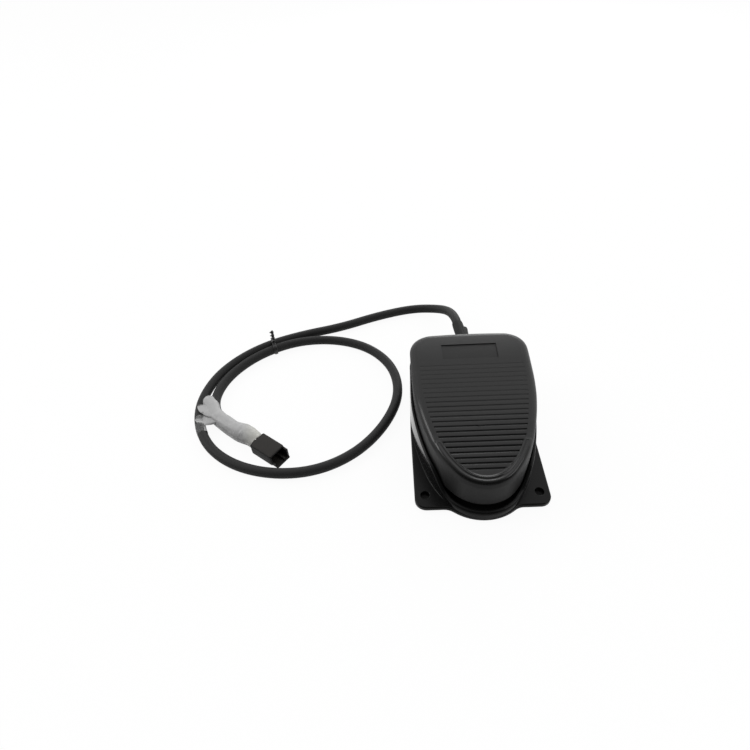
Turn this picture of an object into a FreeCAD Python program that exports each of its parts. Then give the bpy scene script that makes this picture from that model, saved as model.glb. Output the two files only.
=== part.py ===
import FreeCAD, Part
import math
import os
from FreeCAD import Vector

# Foot pedal for a sewing machine, in millimetres. The pedal stands on its feet at z = 0 with its toe
# towards -Y. The origin is under the middle of the base. The cord leaves the rear wall.

# Treadle: a tapered, crowned moulding, open underneath, seen from above as tangent arcs.
treadle_length = 115.1
treadle_width = 78.2
nose_radius = 24.0
nose_turn = math.radians(48.5)
flank_turn = math.radians(73.0)
widest_from_rear = 33.6
corner_radius = 16.0
treadle_wall = 2.2
treadle_top = 2.6
tilt = math.radians(9.2)
nose_height = 31.7
crown_radius = 147.0
crown_from_rear = 26.0
edge_round = 3.0
skirt_nose_height = 13.5
skirt_break_height = 26.3
skirt_rear_height = 34.8
skirt_break_from_nose = 42.0

# Foot plate's relief: grooves, a sunk panel that leaves a raised bead at the toe, and a bare label field.
groove_inset = 4.4
bead_width = 6.0
panel_sink = 1.1
panel_sink_length = 36.0
groove_count = 22
groove_pitch = 3.52
groove_width = 1.1
groove_depth = 0.9
first_groove_from_nose = 11.0
label_width = 35.6
label_length = 10.9
label_from_rear = 11.9
label_depth = 0.6

# Base: a plate with two ears, and a tub wall that follows the treadle.
foot_reach = 1.2
plate_thickness = 3.0
base_width = 83.0
tub_width = 81.8
tub_side_wall = 1.4
rim_gap = 0.9
rim_wall = 2.2
lip_reach = 0.6
lip_radius = 31.0
lip_blend_radius = 9.0
wall_root = 1.0
ear_setback = 8.1
ear_corner_radius = 7.0
ear_edge_round = 1.0
ear_hole_radius = 2.75
ear_hole_setback = 9.2
ear_hole_inset = 6.6
rim_nose_height = 8.5
rim_shoulder_height = 20.8
rim_rear_height = 32.4
rim_rise_from_nose = 6.8
rim_shoulder_from_nose = 26.6
foot_radius = 5.0
foot_seat_depth = 1.5
front_foot_from_nose = 19.0
rear_foot_from_hinge = 3.0
front_foot_x = 25.0
rear_foot_x = 29.0

# Hinge of the treadle.
stroke = math.radians(3.2)
pin_radius = 2.0
pin_chamfer = 0.4
hinge_from_rear = 9.5
pin_over_clamp = 1.7
lug_inner_x = 17.0
lug_thickness = 4.0
lug_radius = 4.2
post_gap = 0.8
post_thickness = 4.0
post_radius = 5.0
clip_radius = 4.2
clip_thickness = 0.8
clip_slot = 2.4
pin_overhang = 0.8

# Return spring, upward stop and downward stop.
spring_radius = 6.0
spring_wire_radius = 0.6
spring_turns = 6
spring_end_gap = 0.2
spring_foot_height = 12.0
spring_boss_length = 3.3
spigot_height = 3.5
seat_rim = 1.2
hook_bar_bottom = 13.0
hook_bar_thickness = 3.0
hook_bar_depth = 4.0
hook_post_x = 13.0
hook_post_width = 3.0
hook_half_width = 4.0
hook_leg = 2.2
hook_leg_gap = 2.0
hook_foot_height = 3.4
hook_clearance = 0.2
pad_radius = 4.5
pad_height = 5.0
pad_chamfer = 0.6
pad_socket_height = 2.5
pad_socket_wall = 1.8
stop_boss_radius = 3.6

# Snap-action switch with a lever, its screws and its rib.
switch_length = 27.8
switch_width = 10.3
switch_height = 15.9
switch_floor = 12.0
switch_front_from_hinge = 44.0
switch_edge_round = 0.6
switch_hole_spacing = 22.2
switch_hole_height = 10.0
switch_screw_radius = 1.5
switch_head_radius = 2.7
switch_head_height = 1.8
screw_slot_width = 0.8
screw_slot_depth = 0.8
screw_overhang = 1.0
rib_thickness = 3.0
rib_setdown = 1.0
rib_gusset = 7.0
rib_gusset_thickness = 2.0
plunger_from_pivot = 6.0
plunger_length = 3.0
plunger_width = 2.6
plunger_depth = 4.0
plunger_round = 0.4
pivot_from_switch_rear = 1.8
pivot_rise = 1.4
pivot_radius = 0.4
barrel_radius = 0.85
lever_thickness = 0.5
lever_width = 4.4
lever_reach = 24.0
lever_rise = 2.0
lever_ear_thickness = 1.2
lever_ear_radius = 1.3
lever_ear_gap = 0.4
blade_width = 3.2
blade_thickness = 0.5
blade_length = 6.6
blade_height = 1.8
blade_spacing = 9.6
blade_tip_round = 0.8
blade_root = 2.0
receptacle_width = 4.4
receptacle_height = 2.0
receptacle_length = 6.2
receptacle_round = 0.5
receptacle_neck = 0.8
receptacle_end_wall = 0.6
crimp_radius = 1.2
crimp_length = 2.0

# Actuating screw in the treadle.
actuator_from_lever_tip = 2.0
actuator_radius = 2.0
actuator_boss_radius = 4.4
actuator_boss_length = 3.8
actuator_nut_radius = 4.0
actuator_nut_height = 3.0
actuator_thread_depth = 3.0

# Cord, its clamp and its tapered boot.
cord_radius = 3.5
cord_exit_x = 4.0
cord_exit_height = 19.5
boot_length = 34.0
boot_wall_radius = 6.6
boot_end_radius = 4.5
boot_neck_radius = 5.0
boot_flange_radius = 6.8
boot_flange_thickness = 1.4
boot_ring_count = 4
boot_ring_depth = 0.7
boot_ring_width = 1.4
boot_ring_core = 0.4
boot_collar_length = 2.5
boot_ring_start = 6.0
boot_plain_end = 2.0
clamp_length = 6.0
clamp_half_width = 11.0
clamp_strap_height = 5.0
clamp_parting = 0.3
clamp_screw_x = 7.6
clamp_screw_radius = 1.5
clamp_head_radius = 2.7
clamp_head_height = 1.8
clamp_screw_depth = 7.0
jacket_end_from_hinge = 6.0
lead_radius = 0.75
lead_spread = 1.8
lead_first_x = 18.0
lead_step_x = 3.0
lead_turn_from_hinge = 15.0
lead_step_y = 2.2

# Clearances, each used wherever its name says.
fit_clearance = 0.05
seat_clearance = 0.02
rest_clearance = 0.3
stop_clearance = 0.15

# Route of the free cord from the boot's end, as the corners of its run on the floor.
cord_route = [
    (4.0, 94.95, 19.5), (4.0, 112.4, 19.5), (-1.5, 128.0, 13.5), (-14.0, 139.0, 7.2), (-33.5, 144.5, 4.0),
    (-63.0, 136.8, 3.5), (-93.0, 123.9, 3.5), (-124.0, 115.4, 4.2), (-153.0, 105.4, 4.6), (-179.0, 89.9, 3.7),
    (-193.5, 65.9, 3.5), (-196.5, 34.9, 3.5), (-186.5, 4.9, 3.5), (-165.0, -15.1, 3.5), (-135.0, -23.6, 3.5),
    (-104.5, -22.6, 3.5), (-78.0, -9.1, 3.5), (-58.0, 14.9, 3.5), (-47.0, 43.9, 3.5), (-51.0, 73.9, 3.5),
    (-69.5, 97.4, 3.5), (-97.5, 108.9, 3.5), (-129.5, 106.9, 4.5), (-158.5, 91.9, 4.3), (-178.5, 68.9, 3.7),
    (-182.5, 43.4, 4.2), (-172.5, 21.9, 4.4), (-151.4, 7.15, 4.4)]

# Connector on the cord's end, its wires, the tie round the cord and the film round its end.
connector_length = 20.5
connector_width = 13.8
connector_height = 9.6
connector_wall = 1.1
connector_cavity = 12.0
connector_round = 0.8
connector_wire_gap = 5.6
connector_wire_radius = 0.8
connector_wire_spread = 2.2
connector_wire_rise = 0.6
connector_pin_side = 1.1
connector_pin_pitch = 4.0
connector_pin_length = 10.0
connector_pin_rise = 2.0
connector_tongue_width = 6.4
connector_tongue_height = 3.6
connector_tongue_reach = 2.6
tie_place = Vector(-146.0, 106.4, 4.5)
tie_band_width = 2.6
tie_band_thickness = 0.7
tie_clearance = 0.15
tie_tail_radius = 0.7
tie_tail_height = 9.0
tie_tail_spread = 1.6
film_widths = [10.0, 13.0, 12.5, 11.8, 13.5, 14.5, 12.6]
film_heights = [9.4, 10.2, 10.4, 10.2, 11.0, 11.4, 9.4]
film_skip = 1
film_corner_count = 4

# Places worked out from the sizes above.
rim_reach = rim_gap + rim_wall
tub_core_width = tub_width - 2 * rim_reach
tub_inner_width = tub_width - 2 * (tub_side_wall + rim_gap)
base_length = treadle_length + 2 * rim_reach + lip_reach
base_rear_y = base_length / 2
base_front_y = -base_length / 2
treadle_rear_y = base_rear_y - rim_reach
treadle_nose_y = treadle_rear_y - treadle_length
plate_top = foot_reach + plate_thickness
rib_root_z = foot_reach + wall_root
clamp_top_z = cord_exit_height + clamp_strap_height + clamp_head_height
hinge_height = clamp_top_z + pin_over_clamp + pin_radius
hinge_y = treadle_rear_y - hinge_from_rear
crown_y = treadle_rear_y - crown_from_rear
ear_front_y = base_front_y + ear_setback
ear_hole_y = ear_front_y + ear_hole_setback
ear_hole_x = base_width / 2 - ear_hole_inset
switch_front_y = hinge_y - switch_front_from_hinge
switch_rear_y = switch_front_y + switch_length
switch_top = switch_floor + switch_height
pivot_y = switch_rear_y - pivot_from_switch_rear
pivot_z = switch_top + pivot_rise
plunger_y = pivot_y - plunger_from_pivot
actuator_y = pivot_y - lever_reach + actuator_from_lever_tip
front_bay = (switch_front_y - treadle_nose_y) / 4
stop_y = treadle_nose_y + front_bay
hook_y = treadle_nose_y + 2 * front_bay
spring_y = treadle_nose_y + 3 * front_bay
blade_z = switch_floor + blade_height
jacket_end_y = hinge_y - jacket_end_from_hinge
boot_end_y = base_rear_y + boot_length
high = 90.0


def box(x0, x1, y0, y1, z0, z1):
    return Part.makeBox(x1 - x0, y1 - y0, z1 - z0, Vector(x0, y0, z0))


def rod(radius, start, end):
    """Round bar between two points."""
    start = Vector(*start)
    along = Vector(*end) - start
    return Part.makeCylinder(radius, along.Length, start, along)


def joined(first, *others):
    """One solid from touching or overlapping ones."""
    shape = first
    for other in others:
        shape = shape.fuse(other)
    return shape.removeSplitter()


def save(node, shape):
    shape.exportStep("parts/" + node + ".step")
    state = "" if shape.isValid() else "INVALID"
    print(node, len(shape.Solids), "solids", round(shape.Volume, 1), "mm3", state)


def mirrored_x(shape):
    return shape.mirror(Vector(0, 0, 0), Vector(1, 0, 0))


# Outline of the treadle, seen from above


def flank_radii(width):
    """Radii of the flank's two arcs, which end at the widest point, straight ahead."""
    across = width / 2 - nose_radius * math.sin(nose_turn)
    ahead = treadle_length - widest_from_rear - nose_radius * (1 - math.cos(nose_turn))
    a, b = math.sin(flank_turn) - math.sin(nose_turn), 1 - math.sin(flank_turn)
    c, d = math.cos(nose_turn) - math.cos(flank_turn), math.cos(flank_turn)
    front = (across * d - ahead * b) / (a * d - b * c)
    return front, (across - front * a) / b


def half_outline(offset, width=treadle_width):
    """Arcs of the right half of a shape this wide from the nose to the rear, moved out by the offset."""
    flank, side = flank_radii(width)
    centre = Vector(0, treadle_nose_y + nose_radius, 0)
    arcs = []
    turn, radius = 0.0, nose_radius
    for next_turn, next_radius in ((nose_turn, flank), (flank_turn, side), (math.pi / 2, None)):
        arcs.append((centre, radius + offset, turn, next_turn))
        if next_radius is not None:
            centre = centre + Vector(math.sin(next_turn), -math.cos(next_turn), 0) * (radius - next_radius)
            radius = next_radius
        turn = next_turn
    corner = Vector(width / 2 - corner_radius, treadle_rear_y - corner_radius, 0)
    arcs.append((corner, corner_radius + offset, math.pi / 2, math.pi))
    return arcs


def on_arc(arc, share):
    centre, radius, start, end = arc
    turn = start + (end - start) * share
    return centre + Vector(math.sin(turn), -math.cos(turn), 0) * radius


def arc_edge(arc, side=1):
    points = [on_arc(arc, share) for share in (0, 0.5, 1)]
    points = [Vector(side * p.x, p.y, p.z) for p in points]
    if side < 0:
        points.reverse()
    return Part.Arc(*points).toShape()


def line(start, end):
    return Part.LineSegment(Vector(*start), Vector(*end)).toShape()


def outline(offset, z, width=treadle_width):
    arcs = half_outline(offset, width)
    right = [arc_edge(arc) for arc in arcs]
    left = [arc_edge(arc, -1) for arc in reversed(arcs)]
    widest, corner = on_arc(arcs[2], 1), on_arc(arcs[3], 0)
    rear = on_arc(arcs[3], 1)
    right.insert(3, line(widest, corner))
    left.insert(1, line((-corner.x, corner.y, 0), (-widest.x, widest.y, 0)))
    wire = Part.Wire(right + [line(rear, (-rear.x, rear.y, 0))] + left)
    wire.translate(Vector(0, 0, z))
    return wire


def prism(offset, z0, z1, width=treadle_width):
    """Upright block inside the outline."""
    return Part.Face(outline(offset, z0, width)).extrude(Vector(0, 0, z1 - z0))


# Heights along the pedal, seen from the side


def side_block(edges):
    """Block across the whole width with this closed side view in the YZ plane."""
    face = Part.Face(Part.Wire(edges))
    face.translate(Vector(-base_width, 0, 0))
    return face.extrude(Vector(2 * base_width, 0, 0))


def tread_line(y):
    """Height of the tilted flat part of the tread, also where it is only a continuation."""
    return nose_height + (y - treadle_nose_y) * math.tan(tilt)


def tread_height(y):
    """Height of the tread, flat and then crowned towards the rear."""
    if y <= crown_y:
        return tread_line(y)
    centre_y = crown_y + crown_radius * math.sin(tilt)
    centre_z = tread_line(crown_y) - crown_radius * math.cos(tilt)
    return centre_z + math.sqrt(crown_radius ** 2 - (y - centre_y) ** 2)


def under_tread(y):
    """Height of the tread's inner face, over the flat part."""
    return tread_line(y) - treadle_top / math.cos(tilt)


def spring_top():
    return under_tread(spring_y) - spring_boss_length


def actuator_boss_bottom():
    return under_tread(actuator_y) - actuator_boss_length


def below_tread(depth):
    """Everything under the tread, lowered square to its surface by the depth."""
    radius = crown_radius - depth
    centre = Vector(0, crown_y + crown_radius * math.sin(tilt),
                    tread_line(crown_y) - crown_radius * math.cos(tilt))
    front_y, end_y = base_front_y - 5, base_rear_y + 5
    front = Vector(0, front_y, tread_line(front_y) - depth / math.cos(tilt))
    start = centre + Vector(0, -math.sin(tilt), math.cos(tilt)) * radius
    end_angle = math.asin((end_y - centre.y) / radius)
    end = centre + Vector(0, math.sin(end_angle), math.cos(end_angle)) * radius
    mid_angle = (end_angle - tilt) / 2
    mid = centre + Vector(0, math.sin(mid_angle), math.cos(mid_angle)) * radius
    return side_block([line(front, start), Part.Arc(start, mid, end).toShape(), line(end, (0, end_y, 0)),
                       line((0, end_y, 0), (0, front_y, 0)), line((0, front_y, 0), front)])


def above_skirt():
    """Everything over the skirt's lower edge, which breaks at the flank."""
    front_y, end_y = base_front_y - 5, base_rear_y + 5
    break_y = treadle_nose_y + skirt_break_from_nose
    front_slope = (skirt_break_height - skirt_nose_height) / skirt_break_from_nose
    rear_slope = (skirt_rear_height - skirt_break_height) / (treadle_rear_y - break_y)
    front = (0, front_y, skirt_nose_height + (front_y - treadle_nose_y) * front_slope)
    rear = (0, end_y, skirt_rear_height + (end_y - treadle_rear_y) * rear_slope)
    bend = (0, break_y, skirt_break_height)
    return side_block([line(front, bend), line(bend, rear), line(rear, (0, end_y, high)),
                       line((0, end_y, high), (0, front_y, high)), line((0, front_y, high), front)])


def below_rim():
    """Everything under the tub's rim: low round the toe, up to a shoulder, then rising to the rear."""
    front_y, end_y = base_front_y - 5, base_rear_y + 5
    rise_y = treadle_nose_y + rim_rise_from_nose
    shoulder_y = treadle_nose_y + rim_shoulder_from_nose
    slope = (rim_rear_height - rim_shoulder_height) / (treadle_rear_y - shoulder_y)
    reach = (shoulder_y - rise_y) / 2
    rise = Part.BezierCurve()
    rise.setPoles([Vector(0, rise_y, rim_nose_height), Vector(0, rise_y + reach, rim_nose_height),
                   Vector(0, shoulder_y - reach, rim_shoulder_height - reach * slope),
                   Vector(0, shoulder_y, rim_shoulder_height)])
    end = (0, end_y, rim_rear_height + (end_y - treadle_rear_y) * slope)
    front = (0, front_y, rim_nose_height)
    return side_block([line(front, (0, rise_y, rim_nose_height)), rise.toShape(),
                       line((0, shoulder_y, rim_shoulder_height), end), line(end, (0, end_y, 0)),
                       line((0, end_y, 0), (0, front_y, 0)), line((0, front_y, 0), front)])


# Treadle


def sink_at(y):
    """How far the panel lies under the tread, deepest at the toe."""
    return max(0.0, panel_sink * (1 - (y - treadle_nose_y) / panel_sink_length))


def groove_bar(y):
    """Bar across the tread, sunk square to its surface by the groove's depth."""
    over = groove_depth + panel_sink
    bar = box(-base_width, base_width, -groove_width / 2, groove_width / 2, -groove_depth, over)
    bar.rotate(Vector(0, 0, 0), Vector(1, 0, 0), math.degrees(tilt))
    bar.translate(Vector(0, y, tread_line(y) - sink_at(y)))
    return bar


def tread_relief():
    """Grooves, the sunk panel behind the toe's rim, and the bare label field."""
    first_y = treadle_nose_y + first_groove_from_nose
    places = [first_y + i * groove_pitch for i in range(groove_count)]
    in_panel = Part.Compound([groove_bar(y) for y in places if sink_at(y) > 0])
    behind = Part.Compound([groove_bar(y) for y in places if sink_at(y) == 0])
    sunk_end_y = treadle_nose_y + panel_sink_length
    nose = (0, treadle_nose_y, nose_height - panel_sink)
    end = (0, sunk_end_y, tread_line(sunk_end_y))
    over_nose, over_end = (0, treadle_nose_y, high), (0, sunk_end_y, high)
    sunk = side_block([line(nose, end), line(end, over_end), line(over_end, over_nose),
                       line(over_nose, nose)])
    panel = prism(-bead_width, 0, high)
    label_y = treadle_rear_y - label_from_rear - label_length / 2
    label = box(-label_width / 2, label_width / 2, -label_length / 2, label_length / 2, -label_depth, 3)
    slope = math.atan((tread_height(label_y + 1) - tread_height(label_y - 1)) / 2)
    label.rotate(Vector(0, 0, 0), Vector(1, 0, 0), math.degrees(slope))
    label.translate(Vector(0, label_y, tread_height(label_y)))
    return [in_panel.common(panel), behind.common(prism(-groove_inset, 0, high)), sunk.common(panel), label]


def hang(shape):
    """Part of a boss or rib that lies under the tread's inner face, let into it by half its thickness."""
    return shape.common(below_tread(treadle_top / 2))


def hinge_lug(side):
    x0, x1 = sorted((side * lug_inner_x, side * (lug_inner_x + lug_thickness)))
    web = box(x0, x1, hinge_y - lug_radius, hinge_y + lug_radius, hinge_height, high)
    eye = rod(lug_radius, (x0, hinge_y, hinge_height), (x1, hinge_y, hinge_height))
    bore = rod(pin_radius + fit_clearance, (x0 - 1, hinge_y, hinge_height), (x1 + 1, hinge_y, hinge_height))
    return hang(web).fuse(eye).cut(bore)


def spigot_radius():
    """Radius of the two spigots that the spring's ends sit round."""
    return spring_radius - 2 * spring_wire_radius - rest_clearance


def drop_at(y):
    """How far a point of the treadle at the hinge's height comes down over the whole stroke."""
    return (hinge_y - y) * math.sin(stroke)


def stop_hook():
    """Leg behind the base's bar, with a foot that catches under it."""
    bar_rear = hook_y + hook_bar_depth / 2
    leg_front = bar_rear + hook_leg_gap
    foot_top = hook_bar_bottom - hook_clearance
    foot_bottom = foot_top - hook_foot_height
    leg = box(-hook_half_width, hook_half_width, leg_front, leg_front + hook_leg, foot_bottom, high)
    foot = box(-hook_half_width, hook_half_width, hook_y - hook_bar_depth / 2, leg_front + hook_leg,
               foot_bottom, foot_top)
    return hang(leg).fuse(foot)


def treadle():
    shell = prism(0, 0, high).common(below_tread(0)).common(above_skirt())
    rims = [e for e in shell.Edges if e.CenterOfMass.z > tread_height(e.CenterOfMass.y) - 0.6]
    rims = [e for e in rims if abs(e.BoundBox.XLength - treadle_width) > 0.5]
    shell = shell.makeFillet(edge_round, rims)
    shell = shell.cut(prism(-treadle_wall, 0, high).common(below_tread(treadle_top)))
    for relief in tread_relief():
        shell = shell.cut(relief)
    spring_seat = rod(spring_radius + seat_rim, (0, spring_y, spring_top()), (0, spring_y, high))
    spigot = rod(spigot_radius(), (0, spring_y, spring_top() - spigot_height), (0, spring_y, spring_top()))
    stop_bottom = plate_top + pad_height + drop_at(stop_y - stop_boss_radius) + stop_clearance
    stop_boss = rod(stop_boss_radius, (0, stop_y, stop_bottom), (0, stop_y, high))
    boss = rod(actuator_boss_radius, (0, actuator_y, actuator_boss_bottom()), (0, actuator_y, high))
    shell = joined(shell, hang(spring_seat).fuse(spigot), hang(stop_boss), hang(boss), stop_hook(),
                   hinge_lug(-1), hinge_lug(1))
    screw_hole = rod(actuator_radius + seat_clearance, (0, actuator_y, actuator_boss_bottom() - 1),
                     (0, actuator_y, actuator_top() + seat_clearance))
    return shell.cut(screw_hole)


# Base


def plate_outline():
    """Ears with round corners, a lip round the toe, and the tub's outline behind the widest point."""
    arcs = half_outline(rim_reach, tub_core_width)
    lip_centre = Vector(0, base_front_y + lip_radius, 0)
    blend_y = ear_front_y - lip_blend_radius
    spread = lip_radius + lip_blend_radius
    blend = Vector(math.sqrt(spread ** 2 - (blend_y - lip_centre.y) ** 2), blend_y, 0)
    touch = lip_centre + (blend - lip_centre) * (lip_radius / spread)
    half = math.atan2(touch.x, lip_centre.y - touch.y) / 2
    lip_mid = lip_centre + Vector(math.sin(half), -math.cos(half), 0) * lip_radius
    blend_end = Vector(blend.x, ear_front_y, 0)
    blend_mid = blend + ((touch + blend_end) / 2 - blend).normalize() * lip_blend_radius
    edge_x = base_width / 2
    corner = Vector(edge_x - ear_corner_radius, ear_front_y + ear_corner_radius, 0)
    corner_mid = corner + Vector(1, -1, 0).normalize() * ear_corner_radius
    rear_corner = on_arc(arcs[3], 0)
    rear = on_arc(arcs[3], 1)
    right = [Part.Arc(Vector(0, lip_centre.y - lip_radius, 0), lip_mid, touch).toShape(),
             Part.Arc(touch, blend_mid, blend_end).toShape(),
             line(blend_end, (corner.x, ear_front_y, 0)),
             Part.Arc(Vector(corner.x, ear_front_y, 0), corner_mid, Vector(edge_x, corner.y, 0)).toShape(),
             line((edge_x, corner.y, 0), rear_corner), arc_edge(arcs[3]), line(rear, (0, rear.y, 0))]
    return Part.Wire(Part.__sortEdges__(right + [mirrored_x(edge) for edge in right]))


def foot_places():
    front_y = treadle_nose_y + front_foot_from_nose
    rear_y = hinge_y - rear_foot_from_hinge
    return [(side * x, y) for x, y in ((front_foot_x, front_y), (rear_foot_x, rear_y)) for side in (-1, 1)]


def hinge_post(side):
    inner = lug_inner_x + lug_thickness + post_gap
    x0, x1 = sorted((side * inner, side * (inner + post_thickness)))
    web = box(x0, x1, hinge_y - post_radius, hinge_y + post_radius, rib_root_z, hinge_height)
    eye = rod(post_radius, (x0, hinge_y, hinge_height), (x1, hinge_y, hinge_height))
    bore = rod(pin_radius + seat_clearance, (x0 - 1, hinge_y, hinge_height), (x1 + 1, hinge_y, hinge_height))
    return web.fuse(eye).cut(bore)


def hook_bar():
    half_depth = hook_bar_depth / 2
    top = hook_bar_bottom + hook_bar_thickness
    outer = hook_post_x + hook_post_width
    bar = box(-outer, outer, hook_y - half_depth, hook_y + half_depth, hook_bar_bottom, top)
    posts = [box(x, x + hook_post_width, hook_y - half_depth, hook_y + half_depth, rib_root_z, top)
             for x in (-outer, hook_post_x)]
    return joined(bar, *posts)


def screw_places():
    middle_y = switch_front_y + switch_length / 2
    z = switch_floor + switch_hole_height
    return [(middle_y + side * switch_hole_spacing / 2, z) for side in (-1, 1)]


def switch_rib():
    """Upright rib that the switch is screwed to, with gussets, and two cross ribs that it stands on."""
    x0 = switch_width / 2
    x1 = x0 + rib_thickness
    low, top = rib_root_z, switch_top - rib_setdown
    rib = box(x0, x1, switch_front_y, switch_rear_y, low, top)
    for y in (switch_front_y, switch_rear_y - rib_gusset_thickness):
        gusset = Part.Face(Part.makePolygon([Vector(x1, y, low), Vector(x1 + rib_gusset, y, low),
                                             Vector(x1, y, top), Vector(x1, y, low)]))
        rib = rib.fuse(gusset.extrude(Vector(0, rib_gusset_thickness, 0)))
        rib = rib.fuse(box(-x0, x0, y, y + rib_gusset_thickness, low, switch_floor))
    for y, z in screw_places():
        rib = rib.cut(rod(switch_screw_radius + seat_clearance, (x0 - 1, y, z), (x1 + 1, y, z)))
    return rib


def clamp_block(z0, z1):
    """Block round the cord with its half of the cord's seat."""
    y0 = hinge_y - clamp_length / 2
    block = box(cord_exit_x - clamp_half_width, cord_exit_x + clamp_half_width, y0, y0 + clamp_length, z0, z1)
    seat = rod(cord_radius + seat_clearance, (cord_exit_x, y0 - 1, cord_exit_height),
               (cord_exit_x, y0 + clamp_length + 1, cord_exit_height))
    return block.cut(seat)


def clamp_screw_holes(radius, z0, z1):
    return [rod(radius, (cord_exit_x + side * clamp_screw_x, hinge_y, z0),
                (cord_exit_x + side * clamp_screw_x, hinge_y, z1)) for side in (-1, 1)]


def base_housing():
    plate = Part.Face(plate_outline()).extrude(Vector(0, 0, plate_thickness))
    plate.translate(Vector(0, 0, foot_reach))
    top_edges = [e for e in plate.Edges if e.BoundBox.ZMin > plate_top - 0.01]
    plate = plate.makeFillet(ear_edge_round, top_edges)
    wall = prism(rim_reach, foot_reach, high, tub_core_width)
    wall = wall.cut(prism(rim_gap, 0, high + 1, tub_inner_width)).common(below_rim())
    pedestal = rod(spring_radius + seat_rim, (0, spring_y, rib_root_z), (0, spring_y, spring_foot_height))
    spigot = rod(spigot_radius(), (0, spring_y, spring_foot_height),
                 (0, spring_y, spring_foot_height + spigot_height))
    socket = rod(pad_radius + seat_clearance + pad_socket_wall, (0, stop_y, rib_root_z),
                 (0, stop_y, plate_top + pad_socket_height))
    clamp_base = clamp_block(rib_root_z, cord_exit_height - clamp_parting / 2)
    base = joined(plate, wall, pedestal.fuse(spigot), socket, hook_bar(), switch_rib(), clamp_base,
                  hinge_post(-1), hinge_post(1))
    holes = [rod(pad_radius + seat_clearance, (0, stop_y, plate_top), (0, stop_y, high))]
    holes += [rod(ear_hole_radius, (x, ear_hole_y, 0), (x, ear_hole_y, plate_top + 1))
              for x in (-ear_hole_x, ear_hole_x)]
    holes += [rod(foot_radius + seat_clearance, (x, y, 0), (x, y, foot_reach + foot_seat_depth))
              for x, y in foot_places()]
    holes += clamp_screw_holes(clamp_screw_radius + seat_clearance, cord_exit_height - clamp_screw_depth,
                               cord_exit_height)
    boot_hole_y = base_rear_y - rim_wall - 1
    holes.append(rod(boot_neck_radius + seat_clearance, (cord_exit_x, boot_hole_y, cord_exit_height),
                     (cord_exit_x, base_rear_y + 1, cord_exit_height)))
    return base.cut(Part.Compound(holes))


def rubber_feet():
    return Part.Compound([rod(foot_radius, (x, y, 0), (x, y, foot_reach + foot_seat_depth))
                          for x, y in foot_places()])


def stop_pad():
    pad = rod(pad_radius, (0, stop_y, plate_top), (0, stop_y, plate_top + pad_height))
    rim = [e for e in pad.Edges if e.BoundBox.ZMin > plate_top + pad_height - 0.01]
    return pad.makeChamfer(pad_chamfer, rim)


# Hinge


def clip_inner_x():
    """Where the clips start, just outside the base's hinge posts."""
    return lug_inner_x + lug_thickness + post_gap + post_thickness + rest_clearance


def hinge_pin():
    end = clip_inner_x() + clip_thickness + pin_overhang
    pin = rod(pin_radius, (-end, hinge_y, hinge_height), (end, hinge_y, hinge_height))
    return pin.makeChamfer(pin_chamfer, [e for e in pin.Edges if e.BoundBox.XLength < 0.01])


def hinge_clips():
    clips = []
    for side in (-1, 1):
        x = side * clip_inner_x()
        far_x = x + side * clip_thickness
        ring = rod(clip_radius, (x, hinge_y, hinge_height), (far_x, hinge_y, hinge_height))
        x0, x1 = sorted((x, far_x))
        ring = ring.cut(rod(pin_radius + seat_clearance, (x0 - 1, hinge_y, hinge_height),
                            (x1 + 1, hinge_y, hinge_height)))
        clips.append(ring.cut(box(x0 - 1, x1 + 1, hinge_y - clip_slot / 2, hinge_y + clip_slot / 2,
                                  hinge_height, hinge_height + clip_radius + 1)))
    return Part.Compound(clips)


# Return spring


def arc_from(start, direction, end):
    """Arc that leaves the start in this direction and reaches the end."""
    length = (end - start).Length
    ahead = (end - start).normalize()
    sideways = direction - ahead * direction.dot(ahead)
    if sideways.Length < 1e-6:
        return Part.LineSegment(start, end).toShape()
    half_turn = math.acos(max(-1.0, min(1.0, direction.dot(ahead))))
    bulge = sideways.normalize() * (length / 2 * math.tan(half_turn / 2))
    return Part.Arc(start, (start + end) / 2 + bulge, end).toShape()


def biarc(start, start_dir, end, end_dir):
    """Two arcs that join the points with these directions."""
    chord = end - start
    both = start_dir + end_dir
    spread = 2 * (1 - start_dir.dot(end_dir))
    ahead = chord.dot(both)
    if spread < 1e-9:
        reach = chord.dot(chord) / (2 * ahead)
    else:
        reach = (-ahead + math.sqrt(ahead ** 2 + spread * chord.dot(chord))) / spread
    near = start + start_dir * reach
    far = end - end_dir * reach
    joint = (near + far) / 2
    middle_dir = (far - near).normalize()
    return [arc_from(start, start_dir, joint), arc_from(joint, middle_dir, end)]


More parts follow.
